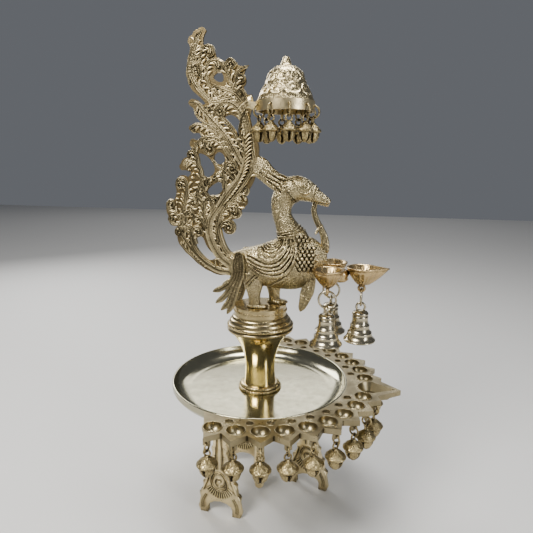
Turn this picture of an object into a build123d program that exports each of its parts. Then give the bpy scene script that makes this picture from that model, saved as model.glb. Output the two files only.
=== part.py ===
from build123d import *

import os
from math import cos, radians, sin

# A brass standing oil lamp (samai): a footed dish with a crescent of small lamps and jingle bells,
# a turned column, and a peacock-swan that carries a pierced tail, a belled canopy and three more
# lamps.
#
# Millimetres, +Z up. The origin is on the table, at the middle of the lamp's footprint.
# +X points towards the beak and the big pointed lamp, and -Y is the bird's right side.

# The whole lamp, in heights above the table
COLUMN_X = -22.0  # the column's axis, which every radius below is measured from
FLOOR = 121.0  # inside floor of the dish
RIM = 132.3  # top of the dish's rim and of the crescent of lamps
COLUMN_TOP = 208.3  # where the bird stands

# Dish
DISH_RADIUS = 88.3
DISH_WALL = 2.5
DISH_FLOOR_THICK = 3.0
DISH_FLAT_RADIUS = 71.0

# Crescent of lamps round the front half of the dish
PLATE_THICK = 5.0
CUPS_PER_SIDE = 9
FIRST_CUP_ANGLE = 11.2
CUP_PITCH = 10.8
CUP_CIRCLE = 107.0
CUP_RADIUS = 7.7
CUP_WALL = 1.4
TOOTH_RADIUS = 124.0
VALLEY_RADIUS = 114.0
END_ANGLE = 110.0
PIERCING_CIRCLE = 94.6
PIERCING_RADIUS = 3.3
BIG_LAMP_X = 112.0
BIG_LAMP_RADIUS = 13.0
BIG_LAMP_TIP = 140.0
BIG_LAMP_SHOULDER = (118.5, 18.0)

# Rings and jingle bells
LUG_CIRCLE = 118.0
LUG_SIZE = (2.4, 6.0, 5.6)
RIM_RING_RADIUS = 4.1
RING_WIRE = 0.75
LOOP_RADIUS = 2.9
LOOP_WIRE = 0.65
RIM_BELL_RADIUS = 9.0
CANOPY_RING_RADIUS = 5.4
CANOPY_BELL_RADIUS = 7.6
BELL_WALL = 1.3
BALL_SHARE = 0.74  # the slotted lower half's radius, as a share of the cap's
PELLET_RADIUS = 2.0

# Feet: middle of each foot on the table, and the way its plate runs
FOOT_PLACES = [(-29.0, -44.0, -3.6), (50.0, 21.0, -13.0), (-29.0, 44.0, 3.6)]
FOOT_THICK = 7.0
FOOT_TOP_WIDTH = 20.0
TOE_IN = 13.5
TOE_OUT = 21.5

# Column
TIE_ROD_RADIUS = 4.0
BORE_RADIUS = 4.4
COLLAR_RADIUS = 20.8
COLLAR_TOP = FLOOR + 6.0
NECK_RADIUS = 15.2
SHAFT_TOP = 183.0
CAP_RADIUS = 33.0
BAND_RADIUS = 25.7

# Canopy and its arm
CANOPY_X = 22.3
CANOPY_RADIUS = 26.7
CANOPY_WALL = 2.2
CANOPY_LOW = 391.4
CANOPY_BAND_TOP = 400.4
CANOPY_HOLE = 396.5
DOME_TOP = 430.2
FINIAL_TOP = 438.6
CANOPY_BELL_PITCH = 36.0
ARM_JOINT_X = -9.0
ARM_LOW = 394.0
ARM_HIGH = 407.0
ARM_WIDTH = 8.0
ARM_SCREW_HEIGHT = 397.2
ARM_SCREW_RADIUS = 1.5
PLUME_THICK = 6.5

# Chest lamps: bowls round a hub, each with its place, heading and spout length
LAMP_RIM = 251.8
LAMP_DEPTH = 17.5
LAMP_RADIUS = 14.8
LAMP_WALL = 1.8
HUB_X = 77.0
CHEST_LAMPS = [(98.0, 0.0, 0.0, 24.5), (68.0, -19.0, -90.0, 18.5), (68.0, 19.0, 90.0, 18.5)]

# Pendant bells under the chest lamps
PENDANT_HOLE = 231.0
PENDANT_RING_RADIUS = 8.0
PENDANT_RING_WIRE = 1.0
PENDANT_LOOP_RADIUS = 4.0
PENDANT_LOOP_WIRE = 1.0
PENDANT_MOUTH_HEIGHT = 180.0
PENDANT_MOUTH = 15.0
CLAPPER_PIVOT = 204.0
CLAPPER_BALL_RADIUS = 3.2
CLAPPER_ROD_RADIUS = 0.8

COLUMN_AXIS = Axis((COLUMN_X, 0, 0), (0, 0, 1))


def side_plane(y=0.0):
    """The upright plane at a distance across the lamp: x forwards and y up, from the column."""
    return Plane(origin=(COLUMN_X, y, 0), x_dir=(1, 0, 0), z_dir=(0, -1, 0))


SIDE = side_plane()


def level(height):
    """The horizontal plane at a height, centred on the column."""
    return Plane(origin=(COLUMN_X, 0, height))


def around(radius, angle, height, heading=None):
    """A frame at a radius and angle round the column: x outwards, y tangential, z up."""
    out = angle if heading is None else heading
    x = COLUMN_X + radius * cos(radians(angle))
    y = radius * sin(radians(angle))
    return Plane(
        origin=(x, y, height),
        x_dir=(cos(radians(out)), sin(radians(out)), 0),
        z_dir=(0, 0, 1),
    )


def polar(radius, angle):
    return (radius * cos(radians(angle)), radius * sin(radians(angle)))


def save(piece, label):
    piece.part.label = label
    export_step(piece.part, f"parts/{label}.step")


os.makedirs("parts", exist_ok=True)
cup_angles = [FIRST_CUP_ANGLE + CUP_PITCH * k for k in range(CUPS_PER_SIDE)]
both_sides = [side * angle for angle in cup_angles for side in (-1, 1)]
piercings = [side * (a + CUP_PITCH / 2) for a in cup_angles[:-1] for side in (-1, 1)]


# Dish -------------------------------------------------------------------------------------------

with BuildPart() as dish:
    with BuildSketch(SIDE) as dish_section:
        with BuildLine():
            low = FLOOR - DISH_FLOOR_THICK
            inner = DISH_RADIUS - DISH_WALL
            Line((BORE_RADIUS, FLOOR), (DISH_FLAT_RADIUS, FLOOR))
            TangentArc((DISH_FLAT_RADIUS, FLOOR), (inner, RIM - 1.5), tangent=(1, 0))
            Line((inner, RIM - 1.5), (inner + 0.6, RIM))
            Line((inner + 0.6, RIM), (DISH_RADIUS, RIM))
            Line((DISH_RADIUS, RIM), (DISH_RADIUS, RIM - PLATE_THICK))
            ThreePointArc((DISH_RADIUS, RIM - PLATE_THICK), (82.6, 120.8), (DISH_FLAT_RADIUS, low))
            Line((DISH_FLAT_RADIUS, low), (BORE_RADIUS, low))
            Line((BORE_RADIUS, low), (BORE_RADIUS, FLOOR))
        make_face()
    revolve(axis=COLUMN_AXIS)
save(dish, "dish")


# Crescent: a toothed plate with a hemispherical cup at each tooth and one big pointed lamp ---------

def crescent_half(side):
    """Outline points of one side, from the big lamp's shoulder to the crescent's end."""
    points = [(BIG_LAMP_SHOULDER[0], side * BIG_LAMP_SHOULDER[1])]
    for angle in cup_angles:
        points.append(polar(TOOTH_RADIUS, side * angle))
        points.append(polar(VALLEY_RADIUS, side * (angle + CUP_PITCH / 2)))
    points[-1] = polar(DISH_RADIUS, side * END_ANGLE)
    return points


with BuildPart() as lamp_crescent:
    right_points = crescent_half(-1)
    left_points = crescent_half(1)
    with BuildSketch(level(RIM - PLATE_THICK)):
        with BuildLine():
            Polyline([(BIG_LAMP_TIP, 0)] + right_points)
            ThreePointArc(right_points[-1], (DISH_RADIUS, 0), left_points[-1])
            Polyline([(BIG_LAMP_TIP, 0)] + left_points)
        make_face()
        with Locations([polar(PIERCING_CIRCLE, angle) for angle in piercings]):
            Circle(PIERCING_RADIUS, mode=Mode.SUBTRACT)
    extrude(amount=PLATE_THICK)
    # Undersides of the cups, and the lugs that the rings hang from
    with Locations([around(CUP_CIRCLE, angle, RIM) for angle in both_sides]):
        Sphere(CUP_RADIUS + CUP_WALL)
    with Locations([around(LUG_CIRCLE, angle, RIM - PLATE_THICK) for angle in both_sides]):
        Box(*LUG_SIZE, align=(Align.CENTER, Align.CENTER, Align.MAX))
    # The big lamp's boat-shaped underside
    with BuildSketch(level(RIM)):
        with BuildLine():
            start = (BIG_LAMP_X, BIG_LAMP_RADIUS + CUP_WALL)
            end = (BIG_LAMP_X, -BIG_LAMP_RADIUS - CUP_WALL)
            ThreePointArc(start, (BIG_LAMP_X - BIG_LAMP_RADIUS - CUP_WALL, 0), end)
            Polyline([end, (BIG_LAMP_TIP - 1.5, 0), start])
        make_face()
    extrude(amount=-11, taper=24)
    split(bisect_by=level(RIM), keep=Keep.BOTTOM)
    with Locations([around(CUP_CIRCLE, angle, RIM) for angle in both_sides]):
        Sphere(CUP_RADIUS, mode=Mode.SUBTRACT)
    with BuildSketch(level(RIM)):
        with BuildLine():
            start = (BIG_LAMP_X, BIG_LAMP_RADIUS)
            end = (BIG_LAMP_X, -BIG_LAMP_RADIUS)
            ThreePointArc(start, (BIG_LAMP_X - BIG_LAMP_RADIUS, 0), end)
            Polyline([end, (BIG_LAMP_TIP - 5, 0), start])
        make_face()
    extrude(amount=-9, taper=24, mode=Mode.SUBTRACT)
    for angle in both_sides:
        lug_middle = around(LUG_CIRCLE, angle, RIM - PLATE_THICK - LUG_SIZE[2] / 2)
        across = Plane(origin=lug_middle.origin, x_dir=lug_middle.y_dir, z_dir=lug_middle.x_dir)
        with Locations(across):
            Cylinder(RING_WIRE + 0.6, LUG_SIZE[0] + 1, mode=Mode.SUBTRACT)
    # The dish fills the middle
    with Locations(level(RIM)):
        Cylinder(DISH_RADIUS, 40, mode=Mode.SUBTRACT)
save(lamp_crescent, "lamp_crescent")


# Feet: three cast plates, each with two toes and an arch between them -----------------------------

def build_foot(number, x, y, heading):
    frame = Plane(
        origin=(COLUMN_X + x, y, 0),
        x_dir=(cos(radians(heading)), sin(radians(heading)), 0),
        z_dir=(0, 0, 1),
    )
    upright = Plane(origin=frame.origin, x_dir=frame.x_dir, z_dir=-frame.y_dir)
    top = FLOOR - DISH_FLOOR_THICK
    half_top = FOOT_TOP_WIDTH / 2
    right_edge = [(half_top, top), (5.6, 90), (7.0, 62), (10.8, 42), (17.6, 22), (22.6, 8), (TOE_OUT, 0)]
    with BuildPart() as foot:
        with BuildSketch(upright):
            with BuildLine():
                Line((-half_top, top), (half_top, top))
                Spline(right_edge)
                Line((TOE_OUT, 0), (TOE_IN, 0))
                Spline([(TOE_IN, 0), (12, 8), (0, 13.5), (-12, 8), (-TOE_IN, 0)])
                Line((-TOE_IN, 0), (-TOE_OUT, 0))
                Spline([(-x, height) for x, height in reversed(right_edge)])
            make_face()
        extrude(amount=FOOT_THICK / 2, both=True)
    save(foot, f"foot_{number}")


for number, (x, y, heading) in enumerate(FOOT_PLACES, start=1):
    build_foot(number, x, y, heading)


# Column, clamped through the dish by a tie rod, a washer and a nut ---------------------------------

with BuildPart() as base_collar:
    with BuildSketch(SIDE):
        with BuildLine():
            Line((BORE_RADIUS, FLOOR), (COLLAR_RADIUS, FLOOR))
            bead_middle = (COLLAR_RADIUS + 0.6, FLOOR + 1.4)
            ThreePointArc((COLLAR_RADIUS, FLOOR), bead_middle, (19.8, FLOOR + 2.8))
            ThreePointArc((19.8, FLOOR + 2.8), (19.4, FLOOR + 4.6), (17.6, COLLAR_TOP))
            Line((17.6, COLLAR_TOP), (BORE_RADIUS, COLLAR_TOP))
            Line((BORE_RADIUS, COLLAR_TOP), (BORE_RADIUS, FLOOR))
        make_face()
    revolve(axis=COLUMN_AXIS)
save(base_collar, "column_base_collar")

with BuildPart() as shaft:
    with BuildSketch(SIDE):
        with BuildLine():
            Line((BORE_RADIUS, COLLAR_TOP), (16.0, COLLAR_TOP))
            flare = [(NECK_RADIUS, 136), (17.2, 160), (24.0, 174.5), (31.0, SHAFT_TOP)]
            Spline([(16.0, COLLAR_TOP)] + flare)
            Line((31.0, SHAFT_TOP), (BORE_RADIUS, SHAFT_TOP))
            Line((BORE_RADIUS, SHAFT_TOP), (BORE_RADIUS, COLLAR_TOP))
        make_face()
    revolve(axis=COLUMN_AXIS)
save(shaft, "column_shaft")

with BuildPart() as cap:
    with BuildSketch(SIDE):
        with BuildLine():
            Line((BORE_RADIUS, SHAFT_TOP), (31.4, SHAFT_TOP))
            ThreePointArc((31.4, SHAFT_TOP), (CAP_RADIUS, SHAFT_TOP + 1.8), (31.8, SHAFT_TOP + 3.6))
            ThreePointArc((31.8, SHAFT_TOP + 3.6), (32.6, SHAFT_TOP + 6.0), (30.8, SHAFT_TOP + 8.4))
            ThreePointArc((30.8, SHAFT_TOP + 8.4), (30.4, SHAFT_TOP + 10.6), (28.2, SHAFT_TOP + 12.8))
            ThreePointArc((28.2, SHAFT_TOP + 12.8), (27.6, SHAFT_TOP + 14.6), (26.0, SHAFT_TOP + 16))
            Line((26.0, SHAFT_TOP + 16), (BAND_RADIUS, COLUMN_TOP))
            Line((BAND_RADIUS, COLUMN_TOP), (0, COLUMN_TOP))
            Line((0, COLUMN_TOP), (0, SHAFT_TOP + 14))
            Line((0, SHAFT_TOP + 14), (BORE_RADIUS, SHAFT_TOP + 14))
            Line((BORE_RADIUS, SHAFT_TOP + 14), (BORE_RADIUS, SHAFT_TOP))
        make_face()
    revolve(axis=COLUMN_AXIS)
save(cap, "column_cap")

UNDERSIDE = FLOOR - DISH_FLOOR_THICK
WASHER_LOW = UNDERSIDE - 2.0
ROD_END = WASHER_LOW - 22.0

with BuildPart() as tie_rod:
    with BuildSketch(level(ROD_END)):
        Circle(TIE_ROD_RADIUS)
    extrude(amount=SHAFT_TOP + 13.5 - ROD_END)
    chamfer(tie_rod.edges().group_by(Axis.Z)[0], 0.8)
save(tie_rod, "tie_rod")

with BuildPart() as washer:
    with BuildSketch(level(WASHER_LOW)):
        Circle(13)
        Circle(BORE_RADIUS, mode=Mode.SUBTRACT)
    extrude(amount=UNDERSIDE - WASHER_LOW)
save(washer, "clamp_washer")

with BuildPart() as finial_nut:
    with BuildSketch(SIDE):
        with BuildLine():
            Line((0, ROD_END - 1), (TIE_ROD_RADIUS, ROD_END - 1))
            Line((TIE_ROD_RADIUS, ROD_END - 1), (TIE_ROD_RADIUS, WASHER_LOW))
            Line((TIE_ROD_RADIUS, WASHER_LOW), (10, WASHER_LOW))
            ThreePointArc((10, WASHER_LOW), (10.8, WASHER_LOW - 3), (9, WASHER_LOW - 6))
            Spline([(9, WASHER_LOW - 6), (6.2, 92), (5.0, 62), (5.6, 36), (6.8, 24)])
            ThreePointArc((6.8, 24), (8.2, 21.5), (6.8, 19))
            Line((6.8, 19), (5.2, 9))
            Line((5.2, 9), (4.6, 5.5))
            Line((4.6, 5.5), (3.2, 4))
            Line((3.2, 4), (0, 4))
            Line((0, 4), (0, ROD_END - 1))
        make_face()
    revolve(axis=COLUMN_AXIS)
save(finial_nut, "finial_nut")


# Bird: a body with a neck and head, on two legs --------------------------------------------------

# Along the body: distance forwards, lowest and highest points, half width
BODY_SECTIONS = [
    (-31, 238, 259, 5),
    (-17, 234, 264, 12),
    (0, 229, 269, 18),
    (18, 226.5, 276, 21),
    (36, 227, 280, 19.5),
    (50, 233, 277.5, 13.5),
    (59, 243, 271, 7.5),
    (64.5, 251, 264, 3),
]
# Up the neck and along the head to the beak: distance forwards, height, pitch of the section from
# level, half size fore and aft, half width
NECK_SECTIONS = [
    (35, 263, 24, 15, 13),
    (31.5, 276, 24, 14.5, 11.5),
    (25, 289, 14, 10.4, 9.6),
    (20.5, 299, 2, 9.2, 8.6),
    (20.5, 310, -22, 10.6, 8.8),
    (26.5, 320, -58, 12.4, 9.6),
    (36.5, 323, -90, 11.7, 9.6),
    (46, 320.2, -106, 9.4, 7.8),
    (53.4, 315.8, -118, 6.3, 5),
    (59.6, 312.4, -116, 5.2, 3.7),
    (65.4, 309.8, -112, 3.5, 2.5),
]
LEGS = [(-3.5, -10.5), (12.0, 10.5)]


with BuildPart() as bird:
    for x, low, high, half_width in BODY_SECTIONS:
        middle = (COLUMN_X + x, 0, (low + high) / 2)
        with BuildSketch(Plane(origin=middle, x_dir=(0, 1, 0), z_dir=(1, 0, 0))):
            Ellipse(half_width, (high - low) / 2)
    loft()
    for x, height, pitch, half_long, half_wide in NECK_SECTIONS:
        run = (cos(radians(pitch)), 0, sin(radians(pitch)))
        rise = (-sin(radians(pitch)), 0, cos(radians(pitch)))
        with BuildSketch(Plane(origin=(COLUMN_X + x, 0, height), x_dir=run, z_dir=rise)):
            Ellipse(half_long, half_wide)
    loft()
save(bird, "bird_body")

with BuildPart() as legs:
    for x, y in LEGS:
        with BuildSketch(Plane(origin=(COLUMN_X + x, y, COLUMN_TOP))):
            Ellipse(6.6, 5)
        with BuildSketch(Plane(origin=(COLUMN_X + x, y * 0.95, 238))):
            Ellipse(9.5, 6)
        loft()
        with Locations((COLUMN_X + x + 3, y, COLUMN_TOP)):
            Box(22, 10, 2.5, align=(Align.CENTER, Align.CENTER, Align.MIN))
    add(bird.part, mode=Mode.SUBTRACT)
save(legs, "bird_legs")


def side_point(x, height):
    """A point on the lamp's middle plane."""
    return Vector(COLUMN_X + x, 0, height)


with BuildPart() as vine:
    with BuildLine() as vine_path:
        Spline(
            [
                side_point(53.4, 313),
                side_point(51.0, 301),
                side_point(55.4, 290),
                side_point(61.6, 280),
                side_point(63.6, 268),
            ]
        )
    with BuildSketch(Plane(origin=vine_path.wire() @ 0, z_dir=vine_path.wire() % 0)):
        Circle(2.7)
    sweep()
    add(bird.part, mode=Mode.SUBTRACT)
save(vine, "beak_vine")

# A pair of long feathers hangs down at each side of the tail's root, and ends in a fan
TASSEL_OUTLINE = [
    (-24.5, 261), (-12, 261), (-12.4, 240), (-18, 231), (-20.5, 215), (-26.5, 203),
    (-31, 198.8), (-38.5, 205), (-42, 211), (-46, 222), (-39, 224.5), (-30.5, 226.5), (-25.5, 238),
]
TASSEL_THICK = 4.0
TASSEL_OUT = 13.6

with BuildPart() as tassels:
    for side in (-1, 1):
        with BuildSketch(side_plane(side * TASSEL_OUT)):
            Polygon(*TASSEL_OUTLINE, align=None)
        extrude(amount=-side * TASSEL_THICK)
    fillet(tassels.edges().filter_by(Axis.Y), 1.2)
    add(bird.part, mode=Mode.SUBTRACT)
    add(legs.part, mode=Mode.SUBTRACT)
save(tassels, "tail_tassels")

# Two short feathers under the breast
TUFT_OUTLINE = [
    (42, 234), (38, 222), (37, 209), (40.5, 205), (46, 208.5), (50.5, 216), (52, 224), (55, 240),
]
TUFT_THICK = 4.0
TUFT_OUT = 4.5

with BuildPart() as tufts:
    for side in (-1, 1):
        with BuildSketch(side_plane(side * TUFT_OUT)):
            Polygon(*TUFT_OUTLINE, align=None)
        extrude(amount=-side * TUFT_THICK)
    fillet(tufts.edges().filter_by(Axis.Y), 1.2)
    add(bird.part, mode=Mode.SUBTRACT)
save(tufts, "chest_tufts")


# Tail: a pierced, scalloped plate that rises from the bird's rump, with a strut to the head and an
# arm to the canopy. Each outline point carries the bulge of the scallop that runs on to the next.
TAIL_OUTLINE = [
    (-60, 465, 2.5), (-52, 463, -1.5), (-55, 451, 3.5), (-43, 441, 0.6), (-36.3, 434, -0.8),
    (-33.5, 437, 2.6), (-22, 433, -1.0), (-12, 432.5, -0.8), (-16.5, 424, 2.4), (-17, 414, -0.8),
    (-13, ARM_HIGH, 0), (ARM_JOINT_X, ARM_HIGH, 0), (ARM_JOINT_X, ARM_LOW, 0), (-10.5, 389, -0.6),
    (-11, 375, -0.8), (-3, 364, 0.8), (-2.5, 354, -0.4), (3, 348.5, -0.8), (11, 340, -0.8),
    (22, 334, 0), (16, 322, 0), (9, 326.5, -0.6), (4.5, 329.5, 0.5), (-5, 334.5, 0.8), (-12, 320.5, 1.2),
    (-16, 315.5, 0.8), (-13, 310, 1.4), (-17, 304.5, 0.8), (-22, 300, 1.8), (-28, 292, -0.8),
    (-33.5, 292.5, -0.8), (-26, 286.5, 2.2), (-28, 279.5, 2.0), (-36, 279.5, -0.8), (-40, 284, -0.8),
    (-40.5, 272, -1.0), (-35, 263, -0.6), (-27, 259.5, 0), (-27, 237.5, 0), (-40, 236, 0.8),
    (-51, 239, 0.8), (-62, 245, 1.2), (-71, 254, 1.4), (-80, 261, 1.6), (-86, 273, 1.2),
    (-88, 280, 0.8), (-84, 283.5, -0.6), (-89, 285, 1.8), (-95, 294, 1.6), (-95.6, 306, 1.6),
    (-88, 309.5, -0.8), (-85.5, 320, 1.4), (-84, 331, 2.2), (-73.5, 332, -0.8), (-70, 336.5, -0.8),
    (-79, 338.5, 2.2), (-80, 345, 1.6), (-73, 351, 0.8), (-72, 355, 1.6), (-65.5, 357.5, -0.6),
    (-70, 361, 0.8), (-69.5, 367, 1.2), (-65, 367, -0.8), (-54, 370, -0.5), (-62, 373.5, 0.8),
    (-69, 375.5, 2.2), (-68.5, 380.5, 1.4), (-61, 381.5, 0.8), (-53.5, 379, -0.4), (-57, 384, -0.8),
    (-64, 395, 0.6), (-71, 400.5, 1.8), (-65, 404, 1.2), (-59, 399.5, -0.6), (-54, 400, -0.6),
    (-64.5, 410, 1.2), (-70.5, 421, 1.8), (-71, 434, 1.2), (-67.5, 447, -0.6), (-70, 454, 1.6),
    (-65.5, 460.5, 1.2),
]
# Each window through the tail, as points that a closed curve runs through
TAIL_WINDOWS = [
    [(-44, 425.5), (-36.5, 425), (-36.5, 419.5), (-44.5, 421)],
    [(-37, 385), (-29, 389.5), (-21.5, 385), (-18.5, 375), (-24, 369.5), (-31, 377)],
    [(-44.5, 354), (-38.5, 355), (-35.5, 347.5), (-42, 344.5)],
    [(-60, 354.5), (-53.5, 352), (-48.5, 347), (-46, 337), (-55, 332), (-60.5, 342)],
    [(-53.5, 318.5), (-47.5, 325), (-38, 327.5), (-37.5, 321.5), (-43, 315.5), (-50, 314)],
    [(-66, 272), (-59.5, 273.5), (-54.5, 264), (-46, 253), (-57.5, 251), (-64, 261)],
]

with BuildPart() as tail:
    with BuildSketch(SIDE):
        with BuildLine():
            for index, (x, height, bulge) in enumerate(TAIL_OUTLINE):
                next_x, next_height, _ = TAIL_OUTLINE[(index + 1) % len(TAIL_OUTLINE)]
                if bulge:
                    SagittaArc((x, height), (next_x, next_height), bulge)
                else:
                    Line((x, height), (next_x, next_height))
        make_face()
        for window in TAIL_WINDOWS:
            with BuildLine():
                Spline(window, periodic=True)
            make_face(mode=Mode.SUBTRACT)
    extrude(amount=PLUME_THICK / 2, both=True)
    screw_start = (COLUMN_X + ARM_JOINT_X, 0, ARM_SCREW_HEIGHT)
    with BuildSketch(Plane(origin=screw_start, z_dir=(-1, 0, 0))):
        Circle(ARM_SCREW_RADIUS)
    extrude(amount=9, mode=Mode.SUBTRACT)
    add(bird.part, mode=Mode.SUBTRACT)
save(tail, "tail_plume")


# Canopy -------------------------------------------------------------------------------------------

CANOPY_PLANE = Plane(origin=(COLUMN_X + CANOPY_X, 0, 0), x_dir=(1, 0, 0), z_dir=(0, -1, 0))
CANOPY_AXIS = Axis((COLUMN_X + CANOPY_X, 0, 0), (0, 0, 1))
canopy_angles = [CANOPY_BELL_PITCH * k for k in range(-4, 5)]

with BuildPart() as band:
    with BuildSketch(Plane(origin=(COLUMN_X + CANOPY_X, 0, CANOPY_LOW))):
        Circle(CANOPY_RADIUS)
    extrude(amount=CANOPY_BAND_TOP - CANOPY_LOW)
    with Locations((COLUMN_X + ARM_JOINT_X, 0, ARM_LOW)):
        Box(10, ARM_WIDTH, CANOPY_BAND_TOP - ARM_LOW, align=(Align.MIN, Align.CENTER, Align.MIN))
    with BuildSketch(Plane(origin=(COLUMN_X + CANOPY_X, 0, CANOPY_LOW))):
        Circle(CANOPY_RADIUS - CANOPY_WALL)
    extrude(amount=CANOPY_BAND_TOP - CANOPY_LOW, mode=Mode.SUBTRACT)
    for angle in canopy_angles:
        out = (cos(radians(angle)), sin(radians(angle)), 0)
        foot = CANOPY_RADIUS - CANOPY_WALL / 2
        hole = (COLUMN_X + CANOPY_X + foot * out[0], foot * out[1], CANOPY_HOLE)
        with Locations(Plane(origin=hole, z_dir=out)):
            Cylinder(RING_WIRE + 0.7, CANOPY_WALL + 2, mode=Mode.SUBTRACT)
    with BuildSketch(Plane(origin=screw_start, z_dir=(1, 0, 0))):
        Circle(ARM_SCREW_RADIUS)
    extrude(amount=12, mode=Mode.SUBTRACT)
save(band, "canopy_band")

with BuildPart() as dome:
    with BuildSketch(CANOPY_PLANE):
        with BuildLine():
            Line((CANOPY_RADIUS, CANOPY_BAND_TOP), (26.0, CANOPY_BAND_TOP + 1.6))
            outer_wall = [(20.8, 411), (17.4, 419), (14.8, 426), (9.0, DOME_TOP)]
            inner_wall = [(12.6, 424), (15.2, 418), (18.6, 410), (23.0, CANOPY_BAND_TOP)]
            Spline([(26.0, CANOPY_BAND_TOP + 1.6)] + outer_wall)
            Line((9.0, DOME_TOP), (2.1, DOME_TOP))
            Line((2.1, DOME_TOP), (2.1, DOME_TOP - 2.4))
            Line((2.1, DOME_TOP - 2.4), (8.0, DOME_TOP - 2.4))
            Spline([(8.0, DOME_TOP - 2.4)] + inner_wall)
            Line((23.0, CANOPY_BAND_TOP), (CANOPY_RADIUS, CANOPY_BAND_TOP))
        make_face()
    revolve(axis=CANOPY_AXIS)
save(dome, "canopy_dome")

with BuildPart() as finial:
    with BuildSketch(CANOPY_PLANE):
        with BuildLine():
            ThreePointArc((8.2, DOME_TOP), (7.9, DOME_TOP + 1.4), (6.6, DOME_TOP + 2))
            Line((6.6, DOME_TOP + 2), (3.8, FINIAL_TOP - 1))
            ThreePointArc((3.8, FINIAL_TOP - 1), (3.5, FINIAL_TOP - 0.3), (2.8, FINIAL_TOP))
            Line((2.8, FINIAL_TOP), (0, FINIAL_TOP))
            Line((0, FINIAL_TOP), (0, DOME_TOP - 5))
            Line((0, DOME_TOP - 5), (2, DOME_TOP - 5))
            Line((2, DOME_TOP - 5), (2, DOME_TOP))
            Line((2, DOME_TOP), (8.2, DOME_TOP))
        make_face()
    revolve(axis=CANOPY_AXIS)
save(finial, "canopy_finial")

with BuildPart() as arm_screw:
    screw_plane = Plane(
        origin=(COLUMN_X + CANOPY_X - CANOPY_RADIUS + CANOPY_WALL + 0.4, 0, ARM_SCREW_HEIGHT),
        z_dir=(-1, 0, 0),
    )
    with BuildSketch(screw_plane):
        Circle(2.8)
    extrude(amount=-1.8)
    with BuildSketch(screw_plane):
        Circle(ARM_SCREW_RADIUS)
    extrude(amount=11)
save(arm_screw, "arm_screw")


# Chest lamps: three deep boat-shaped bowls on one hub ----------------------------------------------

def boat_outline(radius, spout):
    """A round bowl's outline that runs out to a point along +X."""
    touch = (radius * radius / spout, radius * (1 - (radius / spout) ** 2) ** 0.5)
    mirrored = (touch[0], -touch[1])
    with BuildSketch() as outline:
        with BuildLine():
            ThreePointArc(touch, (-radius, 0), mirrored)
            Polyline([mirrored, (spout, 0), touch])
        make_face()
    return outline.sketch


with BuildPart() as chest_lamps:
    with Locations((COLUMN_X + HUB_X, 0, 237)):
        Cylinder(9, 11, align=(Align.CENTER, Align.CENTER, Align.MIN))
    with Locations((COLUMN_X + 57, 0, 238)):
        Box(HUB_X - 57, 9, 10, align=(Align.MIN, Align.CENTER, Align.MIN))
    for x, y, heading, spout in CHEST_LAMPS:
        turn = (cos(radians(heading)), sin(radians(heading)), 0)
        rim_plane = Plane(origin=(COLUMN_X + x, y, LAMP_RIM), x_dir=turn, z_dir=(0, 0, 1))
        with BuildSketch(rim_plane):
            add(boat_outline(LAMP_RADIUS, spout))
        extrude(amount=-LAMP_DEPTH, taper=30)
        lug_size = (7, 2.6, 7.5) if heading == 0 else (2.6, 7, 7.5)
        with Locations((COLUMN_X + x, y, LAMP_RIM - LAMP_DEPTH + 0.8)):
            Box(*lug_size, align=(Align.CENTER, Align.CENTER, Align.MAX))
    for x, y, heading, spout in CHEST_LAMPS:
        turn = (cos(radians(heading)), sin(radians(heading)), 0)
        rim_plane = Plane(origin=(COLUMN_X + x, y, LAMP_RIM), x_dir=turn, z_dir=(0, 0, 1))
        with BuildSketch(rim_plane):
            add(boat_outline(LAMP_RADIUS - LAMP_WALL, spout - 1.3 * LAMP_WALL))
        extrude(amount=-(LAMP_DEPTH - 3), taper=30, mode=Mode.SUBTRACT)
        across = (0, 1, 0) if heading == 0 else (1, 0, 0)
        with Locations(Plane(origin=(COLUMN_X + x, y, PENDANT_HOLE), z_dir=across)):
            Cylinder(PENDANT_RING_WIRE + 0.5, 4, mode=Mode.SUBTRACT)
    add(bird.part, mode=Mode.SUBTRACT)
save(chest_lamps, "chest_lamps")


# Pendant bells: a ring, an open bell and its clapper under each chest lamp --------------------------

ring_centre = PENDANT_HOLE - PENDANT_RING_RADIUS
loop_top = ring_centre - PENDANT_RING_RADIUS + PENDANT_RING_WIRE + PENDANT_LOOP_WIRE + 0.15
loop_centre = loop_top - PENDANT_LOOP_RADIUS
CROWN = loop_centre - PENDANT_LOOP_RADIUS + 0.6

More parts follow.
